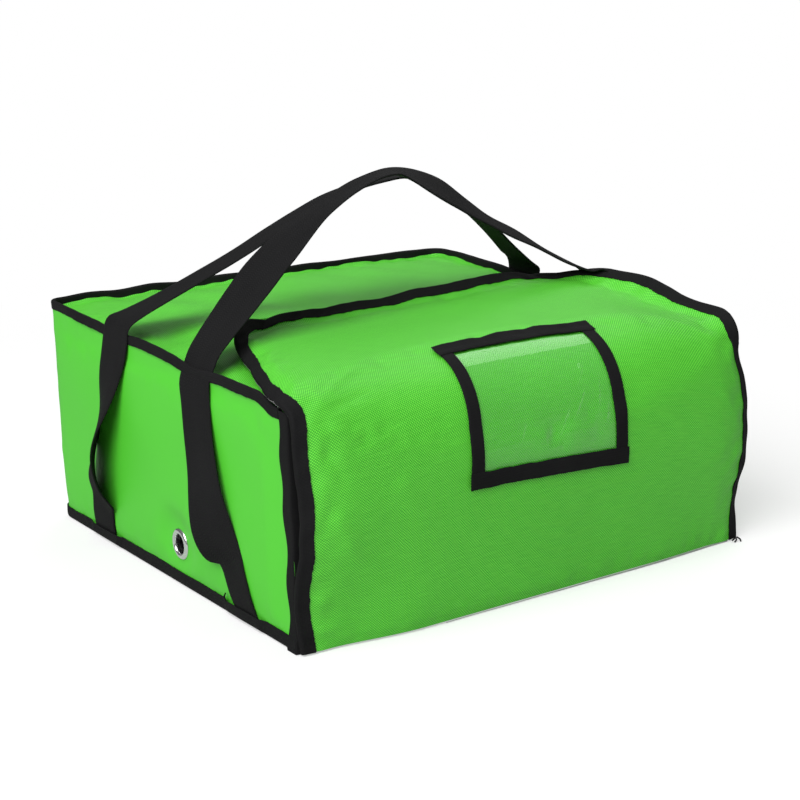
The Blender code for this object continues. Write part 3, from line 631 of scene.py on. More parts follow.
def wallSwell(s, z):
    # how far the padded wall stands out of its plan line
    side = np.where(s > wallLength / 2, wallLength - s, s)
    onSide = side < wallSide + wallTurn / 2
    share = np.where(onSide, side / wallSide, (side - wallSide - wallTurn) / wallBack)
    wide = np.sin(math.pi * np.clip(share, 0, 1)) ** 0.6
    x, y, _, _ = wallPlan(s)
    top = seamHeight(x, y) - 0.010
    tall = np.sin(math.pi * np.clip((z - 0.012) / (top - 0.012), 0, 1)) ** 0.8
    swell = body["wallSwell"] * wide * tall
    nearSeam = bump(top - z, 0.016) + bump(z - 0.013, 0.014)
    swell = swell - 0.0007 * nearSeam * (0.5 + 0.5 * softWaves(s, z, 11, 0.030))
    swell = swell + 0.0007 * tall * softWaves(s, z, 12, 0.11)
    if wallRelief is not None:
        swell = swell + sampleGrid(wallRelief, s / wallLength, z / 0.21)
    swell = swell * smoothStep((side - 0.010) / 0.030)
    for sign in (-1, 1):
        far = np.hypot(np.where(x * sign > 0.2, y - vent["y"], 9), z - vent["z"])
        swell = swell * (1 - np.exp(-((far / 0.030) ** 4)))
    return swell


def wallPoint(s, z, out=0.0):
    x, y, nx, ny = wallPlan(s)
    far = wallSwell(s, z) + out
    return np.stack([x + nx * far, y + ny * far, z + 0 * s], axis=-1)


def wallGrid(out, columns, rows, low=0.0016, high=None, start=0.0, end=None):
    # rows from the foot to a depth under the seam's top
    end = wallLength if end is None else end
    s = np.linspace(start, end, columns)
    x, y, _, _ = wallPlan(s)
    top = seamHeight(x, y) - 0.0018 if high is None else np.full(columns, high)
    share = np.linspace(0, 1, rows)[:, None]
    z = low + (top[None] - low) * share
    s = np.repeat(s[None], rows, axis=0)
    return wallPoint(s, z, out), np.stack([s, z], axis=-1)


coarse, _ = wallGrid(0.0, 120, 22, low=0.0, high=0.21)
held = np.zeros(coarse.shape[:2], bool)
held[:2] = held[-3:] = True
held[:, :2] = held[:, -2:] = True
wallStation = np.linspace(0, wallLength, 120)
for middle in (wallSide + wallTurn / 2, wallLength - wallSide - wallTurn / 2):
    held[:, np.abs(wallStation - middle) < 0.008] = True
wallRelief = relaxCloth("wallCloth", coarse, held, 0.008, 2.0, 0.0022, 0.0008)

outerWall, wallCloth = wallGrid(0.0, 420, 72)
innerWall, _ = wallGrid(-body["canvas"], 420, 72)
wallCanvas = addShell("wallCanvas", outerWall, innerWall, wallCloth, greenCanvas)
for side in (-1, 1):
    cutHole(wallCanvas, (side * body["half"], vent["y"], vent["z"]), vent["hole"])
fixTo("bag_body", wallCanvas, "wall_fabric")

# top panel
topX = np.linspace(-body["panelHalf"], body["panelHalf"], 46)
topY = np.linspace(body["mouthY"], body["panelHalf"], 46)
gridX, gridY = np.meshgrid(topX, topY)
coarse = np.stack([gridX, gridY, panelHeight(gridX, gridY)], axis=-1)
topRelief = relaxCloth("topCloth", coarse, edgesHeld(coarse), 0.006, 1.2, 0.0022, 0.0012)


def topHeight(x, y):
    relief = sampleGrid(topRelief, (x + body["panelHalf"]) / 0.4524, (y - body["mouthY"]) / 0.4536)
    # the canvas puckers beside its bound edges
    edge = np.minimum(body["panelHalf"] - np.abs(x), np.minimum(body["panelHalf"] - y, y - body["mouthY"]))
    pucker = 0.0008 * bump(edge - 0.006, 0.012) * softWaves(x, y, 21, 0.026)
    return panelHeight(x, y) + relief + pucker + 0.0005 * softWaves(x, y, 22, 0.09)


def topGrid(out, count, inset=0.0, front=body["mouthY"]):
    x, y = np.meshgrid(
        np.linspace(-body["panelHalf"] + inset, body["panelHalf"] - inset, count),
        np.linspace(front, body["panelHalf"] - inset, count)
    )
    rise = np.clip((np.maximum(np.abs(x), y) - 0.2215) / 0.0047, 0, 1) * (out > -0.002)
    x, y = roundCorners(x, y)
    z = topHeight(x, y) + out
    z = z + 0.0045 * rise**2  # the edge turns up into the seam
    return np.stack([x, y, z], axis=-1), np.stack([x, y], axis=-1)


upper, topCloth = topGrid(0.0, 170)
lower, _ = topGrid(-body["canvas"], 170)
topCanvas = addShell("topCanvas", upper, lower, topCloth, greenCanvas)
fixTo("bag_body", topCanvas, "top_fabric")

# bottom panel, which lies over its binding's inner leg
bottomX, bottomY = np.meshgrid(
    np.linspace(-body["baseHalf"], body["baseHalf"], 90), np.linspace(-0.2400, body["baseHalf"], 92)
)
bottomY = bottomY + footTuck(bottomX) * smoothStep((-0.19 - bottomY) / 0.04)
edge = np.minimum(body["baseHalf"] - np.abs(bottomX), body["baseHalf"] - bottomY)
bottomZ = (
    0.0003 + 0.0011 * smoothStep((0.016 - edge) / 0.006)
    + 0.0002 * (1 + softWaves(bottomX, bottomY, 31, 0.05))
)
bottomZ = np.where(bottomY < -0.2280, 0.0004, bottomZ)
bottomX, bottomY = roundCorners(bottomX, bottomY)
upper = np.stack([bottomX, bottomY, bottomZ + body["canvas"]], axis=-1)
lower = np.stack([bottomX, bottomY, bottomZ], axis=-1)
bottomCanvas = addShell(
    "bottomCanvas", upper, lower, np.stack([bottomX, bottomY], axis=-1), greenCanvas
)
fixTo("bag_body", bottomCanvas, "bottom_fabric")
print("canvas shell made")


# foam boards and lining
def addBoard(name, near, far, cloth, node):
    # foam between two grids, its edges rounded by drawing both faces to the middle
    fromRow, fromColumn = (np.minimum(np.arange(n), np.arange(n)[::-1]) for n in near.shape[:2])
    fromEdge = np.minimum.outer(fromRow, fromColumn)
    keep = np.array([0.45, 0.86, 1.0])[np.minimum(fromEdge, 2)][..., None]
    middle = (near + far) / 2
    board = addShell(
        name, middle + (near - middle) * keep, middle + (far - middle) * keep, cloth, whiteFoam
    )
    fixTo("bag_body", board, node)
    return board


def innerPlan(half, count):
    # plan of an inner layer of the bottom, from the mouth's line to its round back corners
    x, y = np.meshgrid(np.linspace(-half, half, count), np.linspace(body["mouthLine"], half, count))
    return roundCorners(x, y)


nearFoam, farFoam = body["foam"]
sideEnd = wallSide - 0.0005
backStart = wallSide + wallTurn + 0.0046
for name, node, start, end in (
    ("leftBoard", "left_foam", 0.0002, sideEnd),
    ("backBoard", "back_foam", backStart, wallLength - backStart),
    ("rightBoard", "right_foam", wallLength - sideEnd, wallLength - 0.0002),
):
    near, boardCloth = wallGrid(-nearFoam, 60, 26, low=0.0112, high=0.1845, start=start, end=end)
    far, _ = wallGrid(-farFoam, 60, 26, low=0.0112, high=0.1845, start=start, end=end)
    board = addBoard(name, near, far, boardCloth, node)
    if node != "back_foam":
        cutHole(board, (body["half"] * (1 if near[0, 0, 0] > 0 else -1), vent["y"], vent["z"]), vent["hole"])
near, boardCloth = topGrid(-nearFoam, 60, 0.002, body["mouthLine"])
far, _ = topGrid(-farFoam, 60, 0.002, body["mouthLine"])
addBoard("topBoard", near, far, boardCloth, "top_foam")
boardX, boardY = innerPlan(body["boardHalf"], 60)
near = np.stack([boardX, boardY, 0.0028 + 0 * boardX], axis=-1)
far = np.stack([boardX, boardY, 0.0105 + 0.0002 * softWaves(boardX, boardY, 33, 0.05)], axis=-1)
addBoard("bottomBoard", near, far, np.stack([boardX, boardY], axis=-1), "bottom_foam")

nearLining, farLining = body["lining"]


def crinkle(a, b):
    return 0.0004 * softWaves(a, b, 41, 0.035) + 0.0002 * softWaves(a, b, 42, 0.016)


def wallLiningGrid(depth):
    points, cloth = wallGrid(-depth, 240, 50, low=0.0120, high=0.1838)
    s, z = cloth[..., 0], cloth[..., 1]
    nx, ny = wallPlan(s)[2:]
    wave = crinkle(s, z) - 0.0004
    return points + np.stack([nx * wave, ny * wave, 0 * s], axis=-1), cloth


near, liningCloth = wallLiningGrid(nearLining)
far, _ = wallLiningGrid(farLining)
wallLining = addShell("wallLining", near, far, liningCloth, silverLining)
for side in (-1, 1):
    cutHole(wallLining, (side * body["half"], vent["y"], vent["z"]), vent["hole"])
fixTo("bag_body", wallLining, "wall_liner")

liningX, liningY = innerPlan(body["liningHalf"], 110)
level = 0.0112 + np.abs(crinkle(liningX, liningY))
upper = np.stack([liningX, liningY, level + 0.0006], axis=-1)
lower = np.stack([liningX, liningY, level], axis=-1)
bottomLining = addShell(
    "bottomLining", upper, lower, np.stack([liningX, liningY], axis=-1), silverLining
)
fixTo("bag_body", bottomLining, "bottom_liner")

upper, liningCloth = topGrid(-nearLining, 110, 0.0079, body["mouthLine"])
wave = np.abs(crinkle(liningCloth[..., 0], liningCloth[..., 1]))
upper[..., 2] -= wave
lower = upper - np.array([0, 0, 0.0006])
topLining = addShell("topLining", upper, lower, liningCloth, silverLining)
fixTo("bag_body", topLining, "top_liner")
print("boards and lining made")

# bindings of the body
binding = {
    "reach": 0.0092, "shares": (0.68, 0.68, 0.88, 0.95, 1.2, 1.1), "core": 0.0013, "lean": 0.0012,
    "nib": 0.0003
}


def frayed(count, seed, amount):
    # tiny unevenness of a tape's cut or woven edge, station by station
    return np.random.default_rng(seed).uniform(-amount, amount, count)


# the standing seam round the top
s = np.linspace(0.0122, wallLength - 0.0122, 620)
x, y, nx, ny = wallPlan(s, -0.0012)
crest = seamHeight(x, y)
path = np.stack([x, y, crest - body["tape"] - binding["core"] * 0.6], axis=-1)
outs = np.stack([nx, ny, 0 * s], axis=-1)
lean = binding["lean"] * wavesAlong(s, 51, 0.10)
path = path + outs * (0.4 * lean)[:, None]
ups = unit(np.stack([0 * s, 0 * s, 1 + 0 * s], axis=-1) + outs * (wavesAlong(s, 52, 0.12) * 0.16)[:, None])
profile, tips = hemProfile(
    lambda d: binding["core"], lambda d: -binding["core"], binding["reach"], body["tape"], 0.0012
)
profile = np.repeat(np.array(profile)[None], len(s), axis=0)
profile[..., 1] += (0.0003 * wavesAlong(s, 53, 0.02))[:, None]
profile[..., 0] = np.where(
    profile[..., 0] < -0.0085, profile[..., 0] + frayed(len(s), 54, binding["nib"])[:, None], profile[..., 0]
)
shares = np.interp(
    s, (0, wallSide, wallSide + 0.04, wallSide + wallBack - 0.06, wallSide + wallBack, wallLength),
    binding["shares"]
)
profile[..., 0] = np.where(profile[..., 0] < 0, profile[..., 0] * shares[:, None], profile[..., 0])
topBinding = addSweep("topBinding", path, ups, outs, profile, blackTape, tips)
fixTo("bag_body", topBinding, "top_binding")

# the bottom edge: one leg up the wall, one under the bottom panel
s = np.linspace(0.0002, wallLength - 0.0002, 520)
x, y, nx, ny = wallPlan(s)
path = np.stack([x, y, 0 * s], axis=-1)
outs = np.stack([nx, ny, 0 * s], axis=-1)
ups = steady(len(s), 0, 0, 1)
rise = np.linspace(0.0127, 0.0032, 6)
turn = np.linspace(0, -math.pi / 2, 6)[1:-1]
under = np.linspace(-0.0022, -0.0112, 5)
outerSide = (
    [(0.0011, z) for z in rise]
    + [(-0.0020 + 0.0031 * math.cos(a), 0.0033 + 0.0031 * math.sin(a)) for a in turn]
    + [(d, 0.0002) for d in under]
)
innerSide = (
    [(0.0003, z) for z in rise]
    + [(-0.0020 + 0.0023 * math.cos(a), 0.0033 + 0.0023 * math.sin(a)) for a in turn]
    + [(d, 0.0010) for d in under]
)
profile = np.array(outerSide + innerSide[::-1])
profile = np.repeat(profile[None], len(s), axis=0)
upright = smoothStep(profile[..., 1] / 0.006)
fading = 1 - smoothStep((profile[..., 1] - 0.006) / 0.007) * 0.8
profile[..., 0] += upright * (0.0005 + 0.0006 * wavesAlong(s, 61, 0.07))[:, None] * fading
ragged = 0.0007 * wavesAlong(s, 62, 0.06) + frayed(len(s), 63, 0.0002)
profile[..., 1] += smoothStep((profile[..., 1] - 0.004) / 0.008) * ragged[:, None]
for side in (-1, 1):
    for footY in strapFeet.values():
        over = np.where(x * side > 0.2, smoothStep((0.036 - np.abs(y - footY)) / 0.010), 0.0)
        profile[..., 0] += 0.0027 * upright * over[:, None]
tips = [0.0127 - z for z in rise] + [0.011] * 4 + [0.011] * 5
bottomBinding = addSweep(
    "bottomBinding", path, outs, ups, profile, blackTape, tips + tips[::-1]
)
fixTo("bag_body", bottomBinding, "bottom_binding")

# the mouth's uprights and its top edge
for name, node, side in (
    ("leftMouthBinding", "mouth_left_binding", -1), ("rightMouthBinding", "mouth_right_binding", 1)
):
    z = np.linspace(0.0006, 0.1958, 160)
    foot = 1 - smoothStep((z - 0.0112) / 0.0024)
    wave = softWaves(z, 0 * z + side, 71, 0.045)
    path = np.stack(
        [
            side * (body["half"] + 0.0006 * wave + 0.0011 * foot),
            body["mouthLine"] + 0.0006 * wavesAlong(z, 72 + side, 0.06), z
        ],
        axis=-1
    )
    outs = steady(len(z), 0, -1, 0)
    ups = steady(len(z), side, 0, 0)
    profile, tips = hemProfile(lambda d: 0.0001, lambda d: -0.0106, 0.0108, body["tape"], 0.0006)
    profile = np.repeat(np.array(profile)[None], len(z), axis=0)
    wander = 0.0028 * wavesAlong(z, 74 + side, 0.055)
    profile[..., 0] -= smoothStep((-profile[..., 0] - 0.004) / 0.006) * wander[:, None]
    # below the boards the inner leg lies against the wall canvas
    profile[..., 1] = np.where(
        profile[..., 1] < -0.0015, profile[..., 1] + foot[:, None] * (-0.0024 - profile[..., 1]) * 0.97,
        profile[..., 1]
    )
    piece = addSweep(name, path, outs, ups, profile, blackTape, tips)
    fixTo("bag_body", piece, node)
x = np.linspace(-0.2255, 0.2255, 200)
level = topHeight(x, 0 * x + body["mouthLine"]) + 0.0001
path = np.stack([x, 0 * x + body["mouthLine"], level], axis=-1)
outs = steady(len(x), 0, -1, 0)
ups = steady(len(x), 0, 0, 1)
profile, tips = hemProfile(lambda d: 0.0002, lambda d: -0.0106, 0.0108, body["tape"], 0.0006)
topMouthBinding = addSweep("topMouthBinding", path, outs, ups, profile, blackTape, tips)
fixTo("bag_body", topMouthBinding, "mouth_top_binding")


# vent eyelets
def turnedRing(name, profile, side, look, node):
    # ring turned about the vent's axis; profile points are (radius, distance out of the wall's plane)
    turns = np.linspace(0, 2 * math.pi, 73)[:-1]
    profile = np.array(profile)
    middle = steady(len(turns), side * body["half"], vent["y"], vent["z"])
    outs = np.stack([0 * turns, np.cos(turns), np.sin(turns)], axis=-1)
    ups = steady(len(turns), side, 0, 0)
    ring = addSweep(name, middle, outs, ups, profile, look, closed=True)
    fixTo("bag_body", ring, node)


# profiles of the eyelet and its washer: radius, and distance out of the wall's plane
eyeletFace = (
    (0.0142, 0.0003), (0.0139, 0.0012), (0.0128, 0.0021), (0.0112, 0.0026), (0.0098, 0.0023),
    (0.0089, 0.0012), (0.0087, -0.0004),
)
eyeletBarrel = [
    (0.0087, -0.0121), (0.0091, -0.0127), (0.0099, -0.0127), (0.0099, -0.0121), (0.0096, -0.0117),
    (0.0096, 0.0004), (0.0104, 0.0003),
]
eyeletProfile = smoothPath(eyeletFace, 4).tolist() + eyeletBarrel
washerProfile = [
    (0.0142, -0.0106), (0.0140, -0.0113), (0.0120, -0.0117), (0.0102, -0.0116), (0.0100, -0.0112),
    (0.0100, -0.0106)
]
for side, word in ((-1, "left"), (1, "right")):
    turnedRing(word + "Eyelet", eyeletProfile, side, bareMetal, word + "_vent_grommet")
    turnedRing(word + "Washer", washerProfile, side, bareMetal, word + "_vent_washer")
print("bindings and eyelets made")

# flap
flap = {
    "faceY": -0.2451,
    "footZ": 0.0013,
    "half": 0.2282,
    "endHalf": 0.182,
    "cornerRadius": 0.058,
    "belly": 0.0105,
    "bellyEdgeLoss": 0.45,
    "sideBend": 0.027,
    "middleBend": 0.064,
    "sideShoulder": 0.2105,
    "middleShoulder": 0.2165,
    "endHeight": 0.2165,
    "endY": -0.026,
    "bendRun": 0.2284,
    "topRun": 0.1850,
    "skew": 0.011,
    "rightDrop": 0.0120,
    "endTilt": 0.0065,
    "curl": 0.0125,
    "droop": 0.0080,
    "curlWidth": 0.020,
    "pinch": 0.0026,
    "sidePinch": 0.0070,
    "edgeDepth": 0.0044,
    "tapeReach": 0.0094,
    "depth": 0.0102,
}
# soft folds in the flap's canvas: x and run of both ends, width, height
creases = (
    (-0.196, 0.205, -0.120, 0.235, 0.0045, 0.0011),
    (-0.200, 0.192, -0.140, 0.196, 0.0045, -0.0010),
    (-0.204, 0.182, -0.165, 0.160, 0.0045, 0.0010),
    (-0.208, 0.172, -0.186, 0.118, 0.0050, -0.0010),
    (-0.206, 0.120, -0.176, 0.060, 0.0055, 0.0009),
    (-0.204, 0.080, -0.150, 0.020, 0.0060, -0.0008),
    (-0.150, 0.130, -0.095, 0.040, 0.0100, 0.0009),
    (0.208, 0.200, 0.150, 0.228, 0.0055, 0.0009),
    (0.212, 0.120, 0.185, 0.170, 0.0065, 0.0009),
    (0.214, 0.095, 0.180, 0.070, 0.0065, -0.0008),
    (-0.120, 0.398, -0.112, 0.372, 0.0040, -0.0010),
    (-0.075, 0.404, -0.066, 0.380, 0.0035, 0.0009),
    (0.030, 0.404, 0.040, 0.382, 0.0035, -0.0008),
    (0.120, 0.398, 0.112, 0.374, 0.0040, 0.0009),
)
flapBend = flap["bendRun"]
flapRun = flapBend + flap["topRun"]
flapRelief = None


def flapBase(x, run):
    # smooth outer face of the flap: up the front from its foot, round the bend and back over the top
    across = np.clip(np.abs(x) / 0.229, 0, 1)
    crown = 1 - across**2
    radius = flap["sideBend"] + (flap["middleBend"] - flap["sideBend"]) * crown
    shoulder = flap["sideShoulder"] + (flap["middleShoulder"] - flap["sideShoulder"]) * crown
    toRight = smoothStep((x - 0.12) / 0.10)
    radius = radius - 0.010 * toRight
    shoulder = shoulder - flap["rightDrop"] * toRight
    straight = shoulder - radius - flap["footZ"]
    front = flapBend * straight / (straight + math.pi / 2 * radius)
    frontZ = flap["footZ"] + straight * np.clip(run / front, 0, 1)
    turn = math.pi / 2 * np.clip((run - front) / (flapBend - front), 0, 1)
    late = np.clip((run - flapBend) / flap["topRun"], 0, None)
    middle = np.clip(1 - (x / 0.18) ** 2, 0, 1)
    topY = flap["faceY"] + radius + (flap["endY"] - 0.005 * middle - flap["faceY"] - radius) * late
    endHeight = flap["endHeight"] + flap["endTilt"] * smoothStep((x + 0.10) / 0.30) - 0.002 * middle
    topZ = shoulder + (endHeight - shoulder) * (late + (smoothStep(late) - late) * (1 - toRight))
    y = np.where(run <= flapBend, flap["faceY"] + radius * (1 - np.cos(turn)), topY)
    z = np.where(
        run <= front, frontZ, np.where(run <= flapBend, shoulder - radius * (1 - np.sin(turn)), topZ)
    )
    rounded = np.sin(math.pi * np.clip(run / flapBend, 0, 1)) ** 1.6
    swell = flap["belly"] * (1 - flap["bellyEdgeLoss"] * across**2) * rounded
    y = y + footTuck(x) * (1 - smoothStep((run - 0.004) / 0.11))
    return np.stack([x + 0 * run, y - swell * np.cos(turn), z + swell * np.sin(turn)], axis=-1)


def flapHalf(run):
    # half width of the flap at a run: straight up the front, then tapering to a round corner
    taper = flap["half"] + (flap["endHalf"] - flap["half"]) * np.clip((run - flapBend) / flap["topRun"], 0, 1)
    late = np.clip((run - (flapRun - flap["cornerRadius"])) / flap["cornerRadius"], 0, 1)
    return taper - flap["cornerRadius"] * (1 - np.sqrt(np.clip(1 - late**2, 0, 1)))


def flapNormal(x, run):
    step = 0.0005
    across = flapBase(x + step, run) - flapBase(x - step, run)
    along = flapBase(x, run + step) - flapBase(x, run - step)
    return unit(np.cross(across, along))


def flapEdge(x, run):
    # distance in from the flap's bound edge
    return np.minimum(np.clip(flapHalf(run) - np.abs(x), 0, None), flapRun - run)


def flapPinch(far, x, run):
    # how far the face sinks beside its bound edge: rounded off at the sides, drooping on the left of the top,
    # turned up at its end and right
    onTop = smoothStep((run - flapBend + 0.025) / 0.035)
    sunk = (
        flap["pinch"] * (1 - smoothStep(far / 0.019))
        + (flap["sidePinch"] * smoothStep(run / 0.04) - flap["pinch"]) * (1 - smoothStep(far / 0.040))
    )
    up = smoothStep((run - flapRun + 0.075) / 0.060)
    toRight = smoothStep((x - 0.08) / 0.10)
    high = 1 + 0.30 * bump(run - flapRun + 0.100, 0.045) - 0.38 * smoothStep((run - flapRun + 0.060) / 0.045)
    up = np.where(x > 0, 1 + (high - 1) * toRight, up)
    edge = (1 - np.clip(far / flap["curlWidth"], 0, 1)) ** 1.5
    return sunk * (1 - onTop) + onTop * edge * (flap["droop"] * (1 - up) - flap["curl"] * up)


def flapDepth(far):
    return flap["edgeDepth"] + (flap["depth"] - flap["edgeDepth"]) * smoothStep(far / 0.024)


def creased(x, run, folds=creases):
    # nearness to each fold's line, fading at its ends
    total = 0.0
    for x0, run0, x1, run1, wide, high in folds:
        length = math.hypot(x1 - x0, run1 - run0)
        ux, ur = (x1 - x0) / length, (run1 - run0) / length
        along = (x - x0) * ux + (run - run0) * ur
        off = (run - run0) * ux - (x - x0) * ur
        ends = smoothStep(along / 0.012) * smoothStep((length - along) / (0.6 * length))
        total = total + high * ends * np.exp(-((off / wide) ** 2))
    return total


def flapPoint(x, run, out=0.0, under=False):
    # a point of the flap at x and run on its flat pattern, out from its outer face or from its lining
    x = np.asarray(x, float) + 0 * np.asarray(run, float)
    run = np.asarray(run, float) + 0 * x
    half = flapHalf(np.minimum(run, flapRun - 0.0005))
    far = flapEdge(x, run)
    beside = bump(far, 0.030)
    side = np.sign(x)
    # the bound edge wanders, and the padded face swells past it half way up the front
    wander = 0.0016 * softWaves(run, side * 3.0, 81, 0.075) + 0.0007 * softWaves(run, side * 5.0, 82, 0.03)
    tall = np.clip(run / (0.85 * flapBend), 0, 1)
    bulge = np.where(
        side > 0, 0.0015 + 0.0085 * np.sin(math.pi * tall**1.7) ** 1.2,
        0.0030 + 0.0010 * np.sin(math.pi * tall)
    )
    shifted = x + flap["skew"] * smoothStep((run - flapBend - 0.02) / 0.12)
    shifted = shifted + side * (np.abs(x) / half).clip(0, 1) ** 3 * (wander + bulge) * smoothStep(run / 0.03)
    point = flapBase(x, run)
    normal = flapNormal(x, run)
    puckers = 0.0008 * bump(far - 0.016, 0.013) * softWaves(x, run, 84, 0.024)
    lifted = -flapPinch(far, x, run) + puckers * smoothStep(run / 0.02)
    lifted = lifted + beside * 0.0016 * softWaves(x, run, 85, 0.07) * smoothStep(run / 0.03)
    lifted = lifted + 0.0008 * softWaves(x, run, 86, 0.13) * smoothStep(run / 0.04)
    lifted = lifted + creased(x, run) * smoothStep((far - 0.003) / 0.010)
    if flapRelief is not None:
        lifted = lifted + sampleGrid(flapRelief, (x / half + 1) / 2, run / flapRun)
    if under:
        lifted = lifted - flapDepth(far)
    point[..., 0] = shifted
    return point + normal * (lifted + out)[..., None]


def flapGrid(columns, rows, inset, start=0.009):
    # even columns between the sides, and rows that close up round the free corners
    end = flapRun - inset
    corner = end - flap["cornerRadius"] * 0.98
    low = np.linspace(start, corner, rows - 26)[:-1]
    turn = np.linspace(0, math.pi / 2, 27)
    high = corner + (end - corner) * np.sin(turn)
    run = np.concatenate([low, high])
    half = flapHalf(np.minimum(run + inset * 0.3, flapRun - 0.0004)) - inset
    u = np.linspace(-1, 1, columns)
    # more columns beside the bound edges
    u = 0.75 * u + 0.25 * np.sin(u * math.pi / 2)
    x = half[:, None] * u[None]
    run = np.repeat(run[:, None], columns, axis=1)
    return x, run


uu, rr = np.meshgrid(np.linspace(-1, 1, 50), np.linspace(0, flapRun, 46))
coarse = flapBase(uu * flapHalf(np.minimum(rr, flapRun - 0.0005)), rr)
flapRelief = relaxCloth("flapCloth", coarse, edgesHeld(coarse), 0.010, 2.5, 0.0035, 0.0012)


def joinFlap(piece, *nodes):
    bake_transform(piece)
    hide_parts(*nodes)
    return piece


def flapLayer(name, columns, rows, inset, near, far, look, nodes, start=0.0016):
    # a layer of the flap between two depths, given as shares of its thickness there
    x, run = flapGrid(columns, rows, inset, start)
    deep = flapDepth(flapEdge(x, run))
    upper = flapPoint(x, run, -near * deep)
    lower = flapPoint(x, run, -far * deep)
    return joinFlap(addShell(name, upper, lower, np.stack([x, run], axis=-1), look), *nodes)


flapCanvas = flapLayer(
    "flapCanvas", 190, 200, 0.0014, 0.0, 0.12, greenCanvas,
    ("front_flap_fabric", "top_flap_fabric"), start=0.0006
)
flapFoam = flapLayer(
    "flapFoam", 90, 110, 0.0016, 0.15, 0.90, whiteFoam, ("front_flap_foam", "top_flap_foam"),
    start=0.012
)
flapLining = flapLayer(
    "flapLining", 130, 140, 0.0014, 0.94, 1.0, silverLining,
    ("front_flap_liner", "top_flap_liner")
)

# binding round the flap's sides and free end
sideRuns = np.linspace(0.0003, flapRun - flap["cornerRadius"], 190)
turn = np.linspace(0, math.pi / 2, 46)[1:]
cornerRuns = flapRun - flap["cornerRadius"] * (1 - np.sin(turn))
cornerX = flapHalf(np.minimum(cornerRuns, flapRun))
endX = np.linspace(cornerX[-1], 0, 60)[1:]
edgeX = np.concatenate([flapHalf(sideRuns), cornerX, endX])
edgeRun = np.concatenate([sideRuns, cornerRuns, endX * 0 + flapRun])
wayX = np.concatenate([sideRuns * 0 + 1, np.cos(turn), endX * 0])
wayRun = np.concatenate([sideRuns * 0, np.sin(turn), endX * 0 + 1])
x = np.concatenate([-edgeX, edgeX[::-1][1:]])
run = np.concatenate([edgeRun, edgeRun[::-1][1:]])
wx = np.concatenate([-wayX, wayX[::-1][1:]])
wr = np.concatenate([wayRun, wayRun[::-1][1:]])
inner = 0.0015
base = flapPoint(x - wx * inner, run - wr * inner)
outward = unit(base - flapPoint(x - wx * 0.0075, run - wr * 0.0075))
along = unit(np.gradient(base, axis=0))
normal = unit(np.cross(outward, along))
normal = normal * np.sign((normal * flapNormal(x - wx * inner, run - wr * inner)).sum(axis=1, keepdims=True))
hems = []
for stationX, stationRun, stationWx, stationWr, start, way, out in zip(x, run, wx, wr, base, outward, normal):
    # the tape's legs follow the faces they hold
    reaches = np.linspace(0.0, 0.0125, 14)
    faces = flapPoint(stationX - stationWx * reaches, stationRun - stationWr * reaches) - start
    backs = (
        flapPoint(stationX - stationWx * reaches, stationRun - stationWr * reaches, 0.0, under=True) - start
    )
    outerAt = lambda d, f=faces, o=out, w=way: np.interp(d, -(f @ w)[2:], (f @ o)[2:])
    innerAt = lambda d, f=backs, o=out, w=way: np.interp(d, -(f @ w)[2:], (f @ o)[2:])
    hem, tips = hemProfile(outerAt, innerAt, flap["tapeReach"], body["tape"], 0.0016)
    hems.append(hem)
profile = np.array(hems)
stations = np.concatenate([[0], np.cumsum(np.linalg.norm(np.diff(base, axis=0), axis=1))])
wave = 0.0007 * wavesAlong(stations, 91, 0.04) + frayed(len(x), 92, 0.00035)
profile[..., 0] += smoothStep((-profile[..., 0] - 0.004) / 0.006) * wave[:, None]
flapBinding = addSweep("flapBinding", base, outward, normal, profile, blackTape, tips)
joinFlap(flapBinding, "front_flap_left_binding", "front_flap_right_binding", "top_flap_binding")

# canvas that folds from the bottom panel up into the flap's foot
foldAcross = np.linspace(-body["panelHalf"], body["panelHalf"], 160)
foldLine = smoothPath(
    [
        (-0.2360, 0.0012), (-0.2395, 0.0006), (-0.2420, 0.0004), (-0.2432, 0.0014), (-0.2434, 0.0040),
        (-0.2435, 0.0070), (-0.2437, 0.0100)
    ],
    3
)
foldX = np.repeat(foldAcross[None], len(foldLine), axis=0)
foldY = np.repeat(foldLine[:, :1], len(foldAcross), axis=1) + footTuck(foldX)
foldZ = np.repeat(foldLine[:, 1:], len(foldAcross), axis=1) + 0.0004
foldOuter = np.stack([foldX, foldY, foldZ], axis=-1)
foldInner = foldOuter + gridNormals(foldOuter) * -0.0008
foldCanvas = addShell(
    "foldCanvas", foldOuter, foldInner, np.stack([foldX, foldZ], axis=-1), greenCanvas
)
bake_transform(foldCanvas)

# thin edge of lining that shows under the front fold
edgeX = np.linspace(-0.10, 0.216, 180)
path = np.stack(
    [
        edgeX, -0.2457 + footTuck(edgeX) + 0.0003 * wavesAlong(edgeX, 93, 0.05),
        0.0010 + 0.0002 * wavesAlong(edgeX, 94, 0.04)
    ],
    axis=-1
)
outs = steady(len(edgeX), 0, -1, 0)
ups = steady(len(edgeX), 0, 0, 1)
ring = np.array([(math.cos(a), math.sin(a)) for a in np.linspace(0, 2 * math.pi, 11)[:-1]])
profile = ring[None] * (0.00025 + 0.0005 * smoothStep((edgeX + 0.05) / 0.22))[:, None, None]
foldEdge = addSweep("foldEdge", path, outs, ups, profile, silverLining)
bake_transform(foldEdge)

